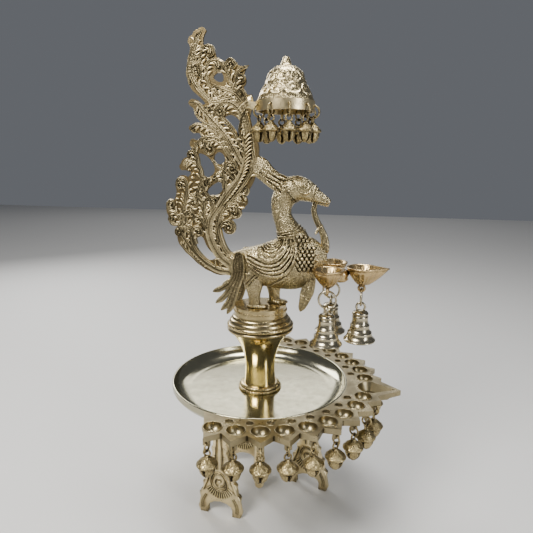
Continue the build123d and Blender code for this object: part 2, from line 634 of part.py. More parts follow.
for number, (x, y, heading, _) in enumerate(CHEST_LAMPS, start=1):
    # The ring's plane holds the lug's hole axis, and the bell's loop crosses it
    ring_normal = (1, 0, 0) if heading == 0 else (0, 1, 0)
    loop_normal = (0, 1, 0) if heading == 0 else (1, 0, 0)
    with BuildPart() as ring:
        with Locations(Plane(origin=(COLUMN_X + x, y, ring_centre), z_dir=ring_normal)):
            Torus(PENDANT_RING_RADIUS, PENDANT_RING_WIRE)
    save(ring, f"pendant_ring_{number}")

    bell_plane = Plane(origin=(COLUMN_X + x, y, 0), x_dir=(1, 0, 0), z_dir=(0, -1, 0))
    bell_axis = Axis((COLUMN_X + x, y, 0), (0, 0, 1))
    with BuildPart() as bell:
        with BuildSketch(bell_plane):
            with BuildLine():
                low = PENDANT_MOUTH_HEIGHT
                Line((0, CROWN), (5.6, CROWN - 0.8))
                ThreePointArc((5.6, CROWN - 0.8), (7.9, CROWN - 2.4), (7.2, CROWN - 4.6))
                Spline([(7.2, CROWN - 4.6), (8.2, low + 16), (10.4, low + 9), (14.4, low + 2)])
                Line((14.4, low + 2), (PENDANT_MOUTH, low))
                Line((PENDANT_MOUTH, low), (PENDANT_MOUTH - 1.4, low))
                Spline([(PENDANT_MOUTH - 1.4, low), (9.0, low + 9), (6.8, low + 16), (5.4, CROWN - 6)])
                Line((5.4, CROWN - 6), (0, CROWN - 3.4))
                Line((0, CROWN - 3.4), (0, CROWN))
            make_face()
        revolve(axis=bell_axis)
        with Locations(Plane(origin=(COLUMN_X + x, y, loop_centre), z_dir=loop_normal)):
            Torus(PENDANT_LOOP_RADIUS, PENDANT_LOOP_WIRE)
    save(bell, f"pendant_bell_{number}")

    with BuildPart() as clapper:
        with Locations((COLUMN_X + x, y, PENDANT_MOUTH_HEIGHT + CLAPPER_BALL_RADIUS)):
            Sphere(CLAPPER_BALL_RADIUS)
            Cylinder(
                CLAPPER_ROD_RADIUS,
                CLAPPER_PIVOT - PENDANT_MOUTH_HEIGHT - CLAPPER_BALL_RADIUS,
                align=(Align.CENTER, Align.CENTER, Align.MIN),
            )
    save(clapper, f"pendant_clapper_{number}")


# Jingle bells: a wire ring, a closed bell with crossed slots, and a loose pellet inside it -----------

def jingle_bell(ring_radius, bell_radius):
    """One jingle bell whose ring hangs from a hole at the origin, with +X outwards."""
    loop_top = -2 * ring_radius + RING_WIRE + LOOP_WIRE + 0.12
    loop_middle = loop_top - LOOP_RADIUS
    apex = loop_middle - LOOP_RADIUS + 0.4
    belly = apex - 10.5
    bottom = belly - bell_radius
    ball = BALL_SHARE * bell_radius
    inner = ball - BELL_WALL
    with BuildPart() as jingle:
        with BuildSketch(Plane.XZ):
            with BuildLine():
                Line((0, apex), (1.8, apex - 0.8))
                cap_side = (bell_radius * 0.64, belly + 5.2)
                ThreePointArc((1.8, apex - 0.8), cap_side, (bell_radius, belly + 0.8))
                Line((bell_radius, belly + 0.8), (bell_radius, belly))
                Line((bell_radius, belly), (ball, belly - 0.6))
                ball_side = (ball * 0.76, belly - bell_radius * 0.62)
                ThreePointArc((ball, belly - 0.6), ball_side, (0, bottom))
                Line((0, bottom), (0, bottom + BELL_WALL))
                inner_side = (inner * 0.76, belly - (bell_radius - BELL_WALL) * 0.62)
                ThreePointArc((0, bottom + BELL_WALL), inner_side, (inner, belly - 0.6))
                Line((inner, belly - 0.6), (0, belly + 3.4))
                Line((0, belly + 3.4), (0, apex))
            make_face()
        revolve(axis=Axis.Z)
        for size in ((3 * bell_radius, 1.6), (1.6, 3 * bell_radius)):
            with Locations((0, 0, belly - 4.2)):
                Box(*size, bell_radius, align=(Align.CENTER, Align.CENTER, Align.MAX), mode=Mode.SUBTRACT)
        with Locations(Plane(origin=(0, 0, loop_middle), z_dir=(1, 0, 0))):
            Torus(LOOP_RADIUS, LOOP_WIRE)
        with Locations(Plane(origin=(0, 0, -ring_radius), z_dir=(0, 1, 0))):
            Torus(ring_radius, RING_WIRE)
        with Locations((0, 0, bottom + BELL_WALL + PELLET_RADIUS + 0.3)):
            Sphere(PELLET_RADIUS)
    return jingle.part


rim_jingle = jingle_bell(RIM_RING_RADIUS, RIM_BELL_RADIUS)
RIM_HOLE = RIM - PLATE_THICK - LUG_SIZE[2] / 2
rim_angles = [-a for a in reversed(cup_angles)] + cup_angles
for number, angle in enumerate(rim_angles, start=1):
    with BuildPart() as rim_bell:
        with Locations(around(LUG_CIRCLE, angle, RIM_HOLE)):
            add(rim_jingle)
    save(rim_bell, f"rim_bell_{number:02d}")

canopy_jingle = jingle_bell(CANOPY_RING_RADIUS, CANOPY_BELL_RADIUS)
for number, angle in enumerate(canopy_angles, start=1):
    out = (cos(radians(angle)), sin(radians(angle)), 0)
    radius = CANOPY_RADIUS - CANOPY_WALL / 2
    place = Plane(
        origin=(COLUMN_X + CANOPY_X + radius * out[0], radius * out[1], CANOPY_HOLE),
        x_dir=out,
        z_dir=(0, 0, 1),
    )
    with BuildPart() as canopy_bell:
        with Locations(place):
            add(canopy_jingle)
    save(canopy_bell, f"canopy_bell_{number}")
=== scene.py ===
from math import atan2, ceil, cos, hypot, pi, radians, sin, sqrt, tau

import bmesh
import bpy
import numpy as np
from mathutils import Matrix, Vector
from mathutils.bvhtree import BVHTree


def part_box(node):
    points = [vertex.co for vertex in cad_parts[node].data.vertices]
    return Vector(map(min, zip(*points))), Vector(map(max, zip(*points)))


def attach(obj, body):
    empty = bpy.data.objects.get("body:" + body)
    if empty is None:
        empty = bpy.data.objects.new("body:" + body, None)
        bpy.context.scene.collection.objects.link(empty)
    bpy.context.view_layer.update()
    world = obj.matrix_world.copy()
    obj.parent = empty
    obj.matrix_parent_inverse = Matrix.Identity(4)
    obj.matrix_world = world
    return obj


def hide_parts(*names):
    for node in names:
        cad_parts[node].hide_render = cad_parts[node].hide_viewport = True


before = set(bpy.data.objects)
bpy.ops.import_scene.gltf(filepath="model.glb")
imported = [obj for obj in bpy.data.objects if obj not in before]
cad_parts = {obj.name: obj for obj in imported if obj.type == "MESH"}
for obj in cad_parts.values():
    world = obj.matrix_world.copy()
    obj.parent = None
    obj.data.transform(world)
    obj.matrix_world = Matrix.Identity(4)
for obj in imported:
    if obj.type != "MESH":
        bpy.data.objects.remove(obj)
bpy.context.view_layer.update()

MM = 0.001
shaft_low, shaft_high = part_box("column_shaft")
COLUMN_X = (shaft_low[0] + shaft_high[0]) / 2  # the column's axis, in metres


# Mesh tools

def make_piece(name, parts, material, body="root", stands_for=(), smooth=True):
    """A mesh object in the frame, riding on a body. Its points are in millimetres from the column's foot."""
    mesh = bpy.data.meshes.new(name)
    points = np.asarray(parts.verts, float) * MM
    points[:, 0] += COLUMN_X
    mesh.from_pydata(points.tolist(), [], [tuple(int(i) for i in face) for face in parts.faces])
    facing = bmesh.new()
    facing.from_mesh(mesh)
    bmesh.ops.recalc_face_normals(facing, faces=facing.faces)
    facing.to_mesh(mesh)
    facing.free()
    if smooth:
        mesh.polygons.foreach_set("use_smooth", [True] * len(mesh.polygons))
    piece = bpy.data.objects.new(name, mesh)
    bpy.context.collection.objects.link(piece)
    mesh.materials.append(material)
    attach(piece, body)
    if stands_for:
        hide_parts(*stands_for)


class Parts:
    """Collects closed shells, each a pair of vertices and faces, into one list of each."""

    def __init__(self, verts=(), faces=()):
        self.verts = list(verts)
        self.faces = list(faces)

    def add(self, shell):
        verts, faces = shell
        start = len(self.verts)
        self.verts.extend(tuple(v) for v in verts)
        self.faces.extend(tuple(start + i for i in face) for face in faces)

    def hung(self, x, y, z, degrees):
        """The same parts turned about the upright axis and moved to where they hang."""
        c, s = cos(radians(degrees)), sin(radians(degrees))
        verts = [(x + px * c - py * s, y + px * s + py * c, z + pz) for px, py, pz in self.verts]
        return Parts(verts, self.faces)


def grid_shell(rings):
    """Closed loops of equal length joined into a tube, with its ends filled."""
    count = len(rings[0])
    verts = [v for ring in rings for v in ring]
    faces = []
    for i in range(len(rings) - 1):
        for j in range(count):
            k = (j + 1) % count
            faces.append((i * count + j, i * count + k, (i + 1) * count + k, (i + 1) * count + j))
    faces.append(tuple(range(count))[::-1])
    faces.append(tuple((len(rings) - 1) * count + j for j in range(count)))
    return verts, faces


def round_shell(loops):
    """Closed loops of equal length joined into a ring that meets itself."""
    count = len(loops[0])
    verts = [v for loop in loops for v in loop]
    faces = []
    for i in range(len(loops)):
        n = (i + 1) % len(loops)
        for j in range(count):
            k = (j + 1) % count
            faces.append((i * count + j, n * count + j, n * count + k, i * count + k))
    return verts, faces


def lathe(profile, steps, centre_x, relief):
    """Turns a closed outline of (radius, height) about a vertical axis. relief adds to the radius."""
    loops = []
    for j in range(steps):
        angle = tau * j / steps
        loop = []
        for radius, height in profile:
            reach = radius + relief(angle, radius, height)
            loop.append((centre_x + reach * cos(angle), reach * sin(angle), height))
        loops.append(loop)
    return round_shell(loops)


def turned(profile, steps, x=0, y=0, relief=None):
    """A turned solid from its top to its bottom, as (radius, height) pairs, closed at both ends."""
    rings = []
    for radius, height in profile:
        ring = []
        for j in range(steps):
            angle = tau * j / steps
            reach = radius + (relief(angle, radius, height) if relief else 0.0)
            ring.append((x + reach * cos(angle), y + reach * sin(angle), height))
        rings.append(ring)
    return grid_shell(rings)


def oval(centre, first, second, sides=40):
    """An ellipse of points round a centre, from its two half axes."""
    ring = []
    for j in range(sides):
        c, s = cos(tau * j / sides), sin(tau * j / sides)
        ring.append(tuple(m + f * c + g * s for m, f, g in zip(centre, first, second)))
    return ring


def smooth_path(points, spacing=1.0):
    """Catmull-Rom curve through points of any dimension, at roughly even spacing."""
    p = [np.asarray(q, float) for q in points]
    p = [2 * p[0] - p[1]] + p + [2 * p[-1] - p[-2]]
    path = []
    for a, b, c, d in zip(p, p[1:], p[2:], p[3:]):
        count = max(2, ceil(np.linalg.norm(c - b) / spacing))
        for i in range(count):
            t = i / count
            bend = (2 * a - 5 * b + 4 * c - d) * t**2
            path.append(0.5 * (2 * b + (c - a) * t + bend + (3 * b - a - 3 * c + d) * t**3))
    path.append(p[-2])
    return np.array(path)


def torus(centre, normal, radius, wire, steps=40, around=12):
    """A round wire ring."""
    axis = Vector(normal).normalized()
    first = axis.orthogonal().normalized()
    second = axis.cross(first)
    rings = []
    for i in range(steps):
        angle = tau * i / steps
        out = first * cos(angle) + second * sin(angle)
        middle = Vector(centre) + out * radius
        rings.append([
            tuple(middle + (out * cos(tau * j / around) + axis * sin(tau * j / around)) * wire)
            for j in range(around)
        ])
    return round_shell(rings)


def ball(centre, size, steps=20, rows=12):
    """A closed ellipsoid."""
    rings = []
    for i in range(1, rows):
        angle = pi * i / rows
        rings.append([
            (
                centre[0] + size[0] * sin(angle) * cos(tau * j / steps),
                centre[1] + size[1] * sin(angle) * sin(tau * j / steps),
                centre[2] + size[2] * cos(angle),
            )
            for j in range(steps)
        ])
    return grid_shell(rings)


SPIRAL_STEPS = 34
SPIRAL_TURNS = 1.15
BARB_SPACING = 2.4  # between the notches along a frond


def spiral(eye, path):
    """A curl of points from the end of a path round an eye, and how far from the eye it starts."""
    arm = path[-1] - eye
    reach = np.hypot(*arm)
    run = path[-1] - path[-2]
    turn = np.sign(arm[0] * run[1] - arm[1] * run[0]) or 1.0
    start = atan2(arm[1], arm[0])
    curl = []
    for i in range(1, SPIRAL_STEPS + 1):
        u = i / SPIRAL_STEPS
        r = reach * (1 - 0.78 * u)
        angle = start + turn * tau * SPIRAL_TURNS * u
        curl.append((eye[0] + r * cos(angle), eye[1] + r * sin(angle)))
    return curl, reach


def frond(points, widths, thick, ridges=3, scroll=None, plane_y=0.0, groove=0.5, notch=0.0, sides=28):
    """A carved strand in an upright plane: a ribbed, tapering band that may end in a scroll.

    points are (x, height). widths are the half widths at its root, middle and end. scroll is the
    (x, height) of the eye that the end winds round.
    """
    path = smooth_path(points, 0.9)
    t = np.linspace(0, 1, len(path))
    width = np.interp(t, [0, 0.5, 1], widths)
    if scroll is None:
        tip = np.clip((1 - t) / 0.12, 0, 1) ** 0.5
        width = width * np.maximum(tip, 0.12)
        shrink = np.maximum(tip, 0.35)
    else:
        curl, reach = spiral(np.asarray(scroll, float), path)
        coil = np.linspace(widths[-1], max(0.5, reach * 0.16), SPIRAL_STEPS)
        width = np.concatenate([width, np.minimum(coil, reach * 0.42)])
        shrink = np.concatenate([np.ones(len(path)), np.linspace(1, 0.8, SPIRAL_STEPS)])
        path = np.vstack([path, curl])
    run = np.gradient(path, axis=0)
    run /= np.linalg.norm(run, axis=1)[:, None]
    across = np.stack([-run[:, 1], run[:, 0]], axis=1)
    length = np.concatenate([[0], np.cumsum(np.linalg.norm(np.diff(path, axis=0), axis=1))])
    rings = []
    for i in range(len(path)):
        ring = []
        beat = 1 - notch * (0.5 + 0.5 * cos(tau * length[i] / BARB_SPACING))
        for j in range(sides):
            angle = tau * j / sides
            s = cos(angle)
            rise = abs(sin(angle)) ** 0.8
            rib = 1 - groove * (0.5 + 0.5 * cos(ridges * pi * (s + 1))) * rise if ridges > 1 else 1
            y = np.sign(sin(angle)) * thick * rise * rib * shrink[i] * beat
            x, z = path[i] + across[i] * s * width[i]
            ring.append((x, plane_y + y, z))
        rings.append(ring)
    strand = Parts(*grid_shell(rings))
    if scroll is not None:
        size = max(0.9, reach * 0.3)
        strand.add(ball((scroll[0], plane_y, scroll[1]), (size, thick * 1.05, size), 16, 8))
    return strand.verts, strand.faces


def cad_shell(node_name, flatten):
    """A CAD node's own surface, in millimetres from the column's foot, with its width scaled."""
    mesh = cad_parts[node_name].data
    points = np.empty(len(mesh.vertices) * 3)
    mesh.vertices.foreach_get("co", points)
    points = points.reshape(-1, 3) / MM
    points[:, 0] -= COLUMN_X / MM
    points[:, 1] *= flatten
    return points.tolist(), [tuple(p.vertices) for p in mesh.polygons]


# Materials

PATINA_REACH = 2.2 * MM  # how wide a hollow still holds patina


class Look:
    """The nodes of a new material."""

    def __init__(self, name):
        self.material = bpy.data.materials.new(name)
        self.material.use_nodes = True
        self.nodes = self.material.node_tree.nodes
        self.links = self.material.node_tree.links
        self.shader = self.nodes["Principled BSDF"]
        self.place = self.nodes.new("ShaderNodeTexCoord").outputs["Object"]

    def node(self, kind, **constants):
        """A new node with constants on its sockets. A _ in a constant's name is a space in the socket's."""
        node = self.nodes.new("ShaderNode" + kind)
        for name, value in constants.items():
            node.inputs[name.replace("_", " ")].default_value = value
        return node

    def noise(self, scale, detail, rough=0.6, place=None):
        node = self.node("TexNoise", Scale=scale, Detail=detail, Roughness=rough)
        self.links.new(place or self.place, node.inputs["Vector"])
        return node.outputs["Fac"]

    def ramp(self, source, low, high, start, end):
        node = self.node("MapRange", From_Min=low, From_Max=high, To_Min=start, To_Max=end)
        self.links.new(source, node.inputs["Value"])
        return node.outputs["Result"]

    def maths(self, kind, first, second):
        node = self.node("Math")
        node.operation = kind
        node.use_clamp = True
        for socket, value in zip(node.inputs, (first, second)):
            if isinstance(value, (int, float)):
                socket.default_value = value
            else:
                self.links.new(value, socket)
        return node.outputs["Value"]

    def openness(self):
        """How open each place is: 0 deep in a hollow and 1 out on a flat."""
        node = self.node("AmbientOcclusion", Distance=PATINA_REACH)
        node.samples = 6
        node.only_local = True
        return node.outputs["AO"]

    def scratches(self):
        """Fine lines that run along the lamp's X axis."""
        stretch = self.node("Mapping", Scale=(60, 900, 60))
        self.links.new(self.place, stretch.inputs["Vector"])
        return self.noise(1.0, 2, 0.5, stretch.outputs["Vector"])

    def punch_marks(self):
        """Thin dark lines between small cells."""
        node = self.node("TexVoronoi", Scale=480)
        node.feature = "DISTANCE_TO_EDGE"
        self.links.new(self.place, node.inputs["Vector"])
        return self.ramp(node.outputs["Distance"], 0.0, 0.2, 1.0, 0.0)

    def colour(self, bright, dark, cover):
        node = self.node("Mix")
        node.data_type = "RGBA"
        node.inputs["A"].default_value = (*bright, 1)
        node.inputs["B"].default_value = (*dark, 1)
        self.links.new(cover, node.inputs["Factor"])
        self.links.new(node.outputs["Result"], self.shader.inputs["Base Color"])

    def bump(self, height, strength):
        node = self.node("Bump", Distance=0.4 * MM, Strength=strength)
        self.links.new(height, node.inputs["Height"])
        self.links.new(node.outputs["Normal"], self.shader.inputs["Normal"])


def brass(name, bright, dark, rough, patina, grain=0.15, scratch=0.0, open_from=0.92, chase=0.0):
    """A metal whose hollows hold a dark patina, with cloudy colour and fine pits.

    open_from is the openness at which the patina ends. scratch and chase are the shares of fine
    scratches and of punch marks.
    """
    look = Look(name)
    look.shader.inputs["Metallic"].default_value = 1.0
    hollows = look.ramp(look.openness(), open_from - 0.42, open_from, 1.0, 0.0)
    clouds = look.ramp(look.noise(55, 4), 0.35, 0.7, 0.0, 1.0)
    stain = look.maths("MULTIPLY", hollows, patina)
    cover = look.maths("ADD", stain, look.maths("MULTIPLY", clouds, patina * 0.35))
    pits = look.noise(900, 3)
    if scratch:
        lines = look.maths("MULTIPLY", look.scratches(), scratch)
        pits = look.maths("ADD", look.maths("MULTIPLY", pits, 1 - scratch), lines)
    if chase:
        marks = look.punch_marks()
        cover = look.maths("ADD", cover, look.maths("MULTIPLY", marks, chase))
        pits = look.maths("SUBTRACT", look.maths("ADD", pits, 0.3), look.maths("MULTIPLY", marks, 0.8))
    look.colour(bright, dark, cover)
    uneven = look.ramp(look.noise(140, 5), 0.3, 0.75, rough * 0.75, rough * 1.35)
    dull = look.maths("ADD", uneven, look.maths("MULTIPLY", cover, 0.3))
    look.links.new(dull, look.shader.inputs["Roughness"])
    look.bump(pits, grain)
    return look.material


ANTIQUE = brass("antique_cast_brass", (0.86, 0.73, 0.46), (0.05, 0.04, 0.022), 0.3,
                patina=0.86, grain=0.35)
# Near-black brass for the tail's web: painted shade, so the web reads as the shadowed gaps between the carved
# strands
TAIL_GAP_SHADE = brass("tail_gap_painted_shade_brass", (0.22, 0.175, 0.10), (0.03, 0.024, 0.014), 0.45,
               patina=0.8, grain=0.6)
BIRD = brass("bird_cast_brass", (0.74, 0.635, 0.40), (0.05, 0.038, 0.02), 0.2,
             patina=1.0, grain=0.45, open_from=1.0, chase=0.3)
CAP = brass("ringed_cap_brass", (0.64, 0.53, 0.31), (0.05, 0.04, 0.025), 0.19,
            patina=1.0, grain=0.2, open_from=1.02)
DOME = brass("engraved_dome_brass", (0.78, 0.66, 0.41), (0.05, 0.04, 0.024), 0.2,
             patina=1.0, grain=0.35, open_from=1.0, chase=0.1)
POLISHED = brass("polished_turned_brass", (0.86, 0.73, 0.42), (0.24, 0.17, 0.07), 0.10,
                 patina=0.5, grain=0.04)
PALE = brass("pale_dish_brass", (0.47, 0.445, 0.33), (0.27, 0.235, 0.15), 0.17,
             patina=0.35, grain=0.02, scratch=0.2)
SATIN = brass("satin_plate_brass", (0.43, 0.37, 0.235), (0.06, 0.048, 0.03), 0.25,
              patina=1.0, grain=0.35, open_from=1.04)
BELL = brass("dimpled_bell_brass", (0.58, 0.475, 0.265), (0.04, 0.03, 0.018), 0.27,
             patina=1.0, grain=0.5, open_from=1.0, chase=0.4)
SILVERY = brass("silvery_turned_brass", (0.60, 0.54, 0.40), (0.09, 0.07, 0.045), 0.2,
                patina=0.85)
LAMP = brass("chest_lamp_brass", (0.66, 0.50, 0.28), (0.07, 0.045, 0.02), 0.22,
             patina=0.9, grain=0.25, open_from=0.98)
STEEL = brass("plain_steel", (0.42, 0.41, 0.39), (0.12, 0.11, 0.1), 0.35, patina=0.4)

CAD_FINISH = {
    "dish": PALE, "lamp_crescent": SATIN, "column_base_collar": CAP, "column_shaft": POLISHED,
    "column_cap": CAP, "tie_rod": STEEL, "clamp_washer": STEEL, "arm_screw": STEEL,
}


def cad_finish(node_name):
    """The material of a CAD node's own surface."""
    if node_name in CAD_FINISH:
        return CAD_FINISH[node_name]
    if node_name.startswith("pendant"):
        return SILVERY
    return BELL if "bell" in node_name else ANTIQUE


for node_name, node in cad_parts.items():
    for material_slot in node.material_slots:
        material_slot.material = cad_finish(node_name)


# Tail: ribbed strands, leaves and scrolls over a thin web, coloured near-black as painted shade for the gaps
# between them

# Each strand: its points, half widths at root, middle and end, half thickness, ridges, scroll eye
TRUNKS = [
    ([(-27, 245), (-40, 254.5), (-48, 266.5), (-51.8, 279), (-50.2, 291.7), (-42.2, 303.2), (-31.7, 318.2),
      (-21.4, 330.4), (-15.8, 342.4), (-13.3, 357.4), (-14.5, 373.6), (-17, 386.2), (-22.5, 395.5),
      (-30, 400), (-38, 399.2), (-43.6, 394.5)], (5.2, 4.0, 2.4), 4.3, 4, (-38.8, 392.9)),
    ([(-27, 253.5), (-34.8, 260.7), (-40.2, 271.9), (-42.4, 283.2), (-41, 293.3), (-34.4, 304.6),
      (-24, 317.1), (-15.1, 328.1), (-8.9, 338.9), (-6.2, 350), (-8, 362)], (3.4, 3.2, 2.0), 4.0, 3, None),
    ([(10, 333), (0, 341), (-7.2, 351.6), (-9.6, 369), (-12.7, 383.9), (-16.3, 395.2), (-22.4, 404.3),
      (-27.3, 414.5), (-31.5, 425.7), (-33.6, 433.5), (-29, 438), (-24.5, 433.5)],
     (3.4, 2.6, 1.7), 3.9, 3, (-28.4, 433.6)),
    ([(-18.9, 345.6), (-26.4, 359.7), (-35.1, 372.6), (-46.3, 384), (-56.2, 394.6), (-62.5, 400.6),
      (-69.6, 401.2)], (3.6, 3.8, 1.9), 4.2, 4, None),
    ([(-15, 352), (-22.5, 367.9), (-29.5, 378.6), (-39.2, 388.6), (-48.6, 396.3), (-53.4, 396.8)],
     (2.4, 2.2, 1.6), 3.7, 3,
     (-50.1, 394.6)),
    ([(-30, 404), (-38, 402.5), (-46, 401.3), (-56, 409.4), (-64, 419.9), (-67.4, 430.1), (-65, 441.2),
      (-61.3, 452.1), (-58.7, 460.7), (-54.2, 464.8)], (2.6, 3.3, 1.8), 4.1, 3, None),
    ([(-30, 240.2), (-43, 241.5), (-55.6, 247.6), (-67, 257.7), (-75.4, 267.8), (-80.5, 275.6), (-85, 281.2)],
     (4.4, 3.0, 1.8), 4.0, 4, (-83, 277.4)),
]
# Each scroll or small leaf: its points, half widths at root, middle and end, scroll eye
SCROLLS = [
    ([(-38, 402), (-46, 411.5), (-51, 419.6), (-52.4, 430), (-48, 437.2), (-40.3, 437.4), (-36.4, 432.4)],
     (2.4, 2.3, 1.7), (-40.6, 431.6)),
    ([(-57, 419), (-57.6, 429), (-58.2, 441), (-54.5, 449), (-47.5, 449.8), (-45.2, 445.4)],
     (2.2, 2.0, 1.5), (-49.7, 444.8)),
    ([(-63, 414), (-66.4, 424.6), (-66, 431.3), (-60.8, 433), (-57.3, 428.7)],
     (1.8, 1.8, 1.3), (-61.2, 427.6)),
    ([(-17, 400), (-24.5, 408), (-34, 412), (-43.3, 415), (-49.5, 417.5)], (2.6, 2.6, 1.2), None),
    ([(-20, 397), (-30, 404), (-38.4, 408.1), (-47, 407)], (2.2, 2.2, 1.0), None),
    ([(-16, 402), (-22.2, 409), (-24.4, 417.5), (-21, 424.4), (-17.8, 424.5)],
     (2.0, 1.9, 1.2), (-19.8, 420.6)),
    ([(-24.6, 418), (-22.4, 425.4), (-17.5, 429.6), (-12.8, 432)], (1.8, 2.0, 1.4), None),
    ([(-14, 397), (-14.6, 404), (-18.4, 411.4), (-22.4, 409.4)], (2.4, 2.0, 1.4), (-19.2, 407.8)),
    ([(-27, 352), (-36, 364), (-44.9, 373.8), (-54, 379.3), (-62.5, 381), (-67.6, 379)],
     (2.6, 2.6, 1.6), (-65.3, 376.9)),
    ([(-24, 342), (-33.2, 356.5), (-40, 364), (-47, 366.9), (-53.6, 364.4), (-55.2, 358.7)],
     (2.8, 2.6, 1.9), (-49.8, 358.6)),
    ([(-38, 367), (-48, 370), (-57, 368.5), (-63, 363.6), (-68, 366.4)], (2.2, 2.2, 1.0), None),
    ([(-55, 369.6), (-61, 365), (-66, 359), (-69.4, 362.1)], (1.6, 2.0, 1.0), None),
    ([(-58.8, 328.4), (-60, 339.3), (-65.6, 346), (-73.1, 347.4), (-78, 341.9)], (2.2, 2.2, 2.6), None),
    ([(-62, 339), (-62.6, 349), (-66.3, 356.6), (-71.2, 355.8)], (1.6, 1.8, 1.4), (-68, 352.6)),
    ([(-36, 322), (-36.4, 334.5), (-33, 344.6), (-25.8, 346), (-23.2, 340.9)],
     (2.4, 2.3, 1.8), (-27.8, 340.4)),
    ([(-26, 331), (-35.2, 338.7), (-43.8, 343.4), (-48.6, 350.6)], (1.8, 2.2, 1.0), None),
    ([(-32.9, 326.6), (-38, 333.7), (-43.1, 335.7), (-46.6, 332.6)], (1.6, 1.7, 1.2), (-43.9, 331.8)),
    ([(-38, 328), (-46, 331), (-52.5, 330.4), (-54.6, 326.9)], (1.5, 1.6, 1.2), (-51.6, 326.6)),
    ([(-56, 333), (-60, 325), (-63, 317), (-61.5, 306)], (2.0, 2.2, 1.4), None),
    ([(-78, 300), (-75.1, 312.3), (-73.6, 323.5), (-76.9, 330.5), (-83, 329.3), (-84.6, 324.3)],
     (2.4, 2.3, 1.7), (-80.7, 324.6)),
    ([(-79.8, 288), (-78.1, 300.9), (-74.2, 311.6), (-67.8, 314.8), (-62.8, 310.8), (-64.2, 305.1)],
     (2.4, 2.3, 1.8), (-68.6, 307.2)),
    ([(-76, 278), (-80.5, 288.1), (-86.7, 296.9), (-93.2, 299.5), (-95, 305.8), (-92, 309)],
     (2.4, 2.4, 1.6), (-91.7, 304.8)),
    ([(-80, 279), (-84.6, 285), (-90.6, 285.6), (-94, 290.4)], (1.8, 2.0, 1.3), (-90.4, 290.2)),
    ([(-45.6, 243.9), (-57.6, 251.1), (-66.8, 261), (-70.6, 272.1), (-69.2, 281.6),
      (-62.6, 283.8), (-58.6, 279.8)],
     (2.6, 2.3, 1.8), (-62.4, 278.4)),
    ([(-61.8, 246.3), (-71.8, 255.5), (-79.5, 262.7), (-82, 269)], (1.6, 2.2, 1.2), None),
    ([(-73.6, 276), (-75.4, 288.3), (-74.9, 297.2), (-70.6, 300.6), (-67.6, 297.4)],
     (2.0, 1.9, 1.3), (-70.7, 297)),
    ([(-43.5, 268), (-42.2, 280), (-38.4, 288.4), (-31.6, 290.8), (-26.6, 286.3), (-27.4, 280.6)],
     (2.2, 2.0, 1.7), (-31.9, 284)),
    ([(-44, 290), (-38.4, 300), (-30.4, 304.5), (-23.4, 303.9), (-20.4, 299.4)],
     (2.3, 2.1, 1.6), (-25.2, 298.2)),
    ([(-46, 296), (-36.4, 306.3), (-26.1, 310.5), (-14.6, 308.2)], (2.2, 2.4, 1.6), None),
    ([(-42.2, 304.4), (-31.7, 312.8), (-22.5, 316.4), (-14.9, 316.3), (-12.6, 319.4)],
     (2.2, 2.2, 1.5), (-15.6, 320.6)),
    ([(-53.3, 286), (-56.2, 298.3), (-55, 308.3), (-48.3, 313.6), (-43.4, 311.4)],
     (2.3, 2.2, 1.5), (-46.4, 309.8)),
    ([(-54.9, 282), (-60.8, 292.2), (-66.1, 294.3), (-70.3, 287.5)], (1.8, 2.0, 1.0), None),
    ([(-58.1, 290), (-57.6, 304.5), (-60.4, 316.4), (-66.9, 319.7)], (2.4, 2.4, 1.4), None),
    ([(-35.6, 312.1), (-34.6, 325.8), (-37.2, 336.4)], (2.4, 2.2, 1.2), None),
    ([(-48, 296), (-48, 306), (-57, 320), (-54.9, 327.5)], (2.2, 2.2, 1.4), None),
    ([(-66, 266), (-69, 276), (-72, 284), (-79, 286)], (1.6, 2.0, 1.4), None),
    ([(-69, 418), (-70.4, 430), (-67.5, 443), (-66, 451.4), (-68.4, 455.2)], (1.6, 1.8, 1.4), None),
    ([(-59, 425), (-62.5, 440), (-63, 455), (-58, 463)], (1.8, 1.8, 1.2), None),
    ([(-26, 356), (-37, 370.5), (-49, 379.5), (-61, 388), (-66, 397)], (2.2, 2.6, 1.2), None),
    ([(-13, 362), (-20, 372.6), (-18.6, 384), (-13, 396)], (1.8, 1.6, 1.2), None),
]

PLATE_SHELL = cad_shell("tail_plume", 0.3)  # the tail's plate, thinned to lie behind the carving
PLATE = BVHTree.FromPolygons([Vector(v) for v in PLATE_SHELL[0]], PLATE_SHELL[1])


def on_plate(point):
    """Whether the tail's plate lies behind a point of the side view."""
    return PLATE.ray_cast(Vector((point[0], -50, point[1])), Vector((0, 1, 0)))[0] is not None


def add_braid(tail):
    """Short slanting leaves up the middle of the tail."""
    path = smooth_path([(-33, 309), (-22, 323), (-13.6, 339), (-10.6, 356), (-11.6, 374)], 4.0)
    for x, z in path[:-1]:
        tail.add(frond([(x - 3.4, z - 2.6), (x, z + 1.2), (x + 3.4, z + 2.6)], (1.2, 1.5, 0.8), 4.6, 1))


def add_leaflets(tail, points, start, spacing, length):
    """Small leaves that branch off both sides of a strand, wherever the plate backs them."""
    path = smooth_path(points)
    for index in range(start, len(path) - 3, spacing):
        run = path[index + 1] - path[index]
        run /= np.hypot(*run)
        for side in (-1, 1):
            out = np.array([-run[1], run[0]]) * side
            root = path[index] + out * 1.2
            middle = root + run * length * 0.45 + out * length * 0.4
            tip = root + run * length * 0.6 + out * length * 0.95
            if on_plate(middle + out) and on_plate(tip + out * 0.8):
                tail.add(frond([root, middle, tip], (1.2, 1.6, 0.7), 2.7, 1, sides=14))


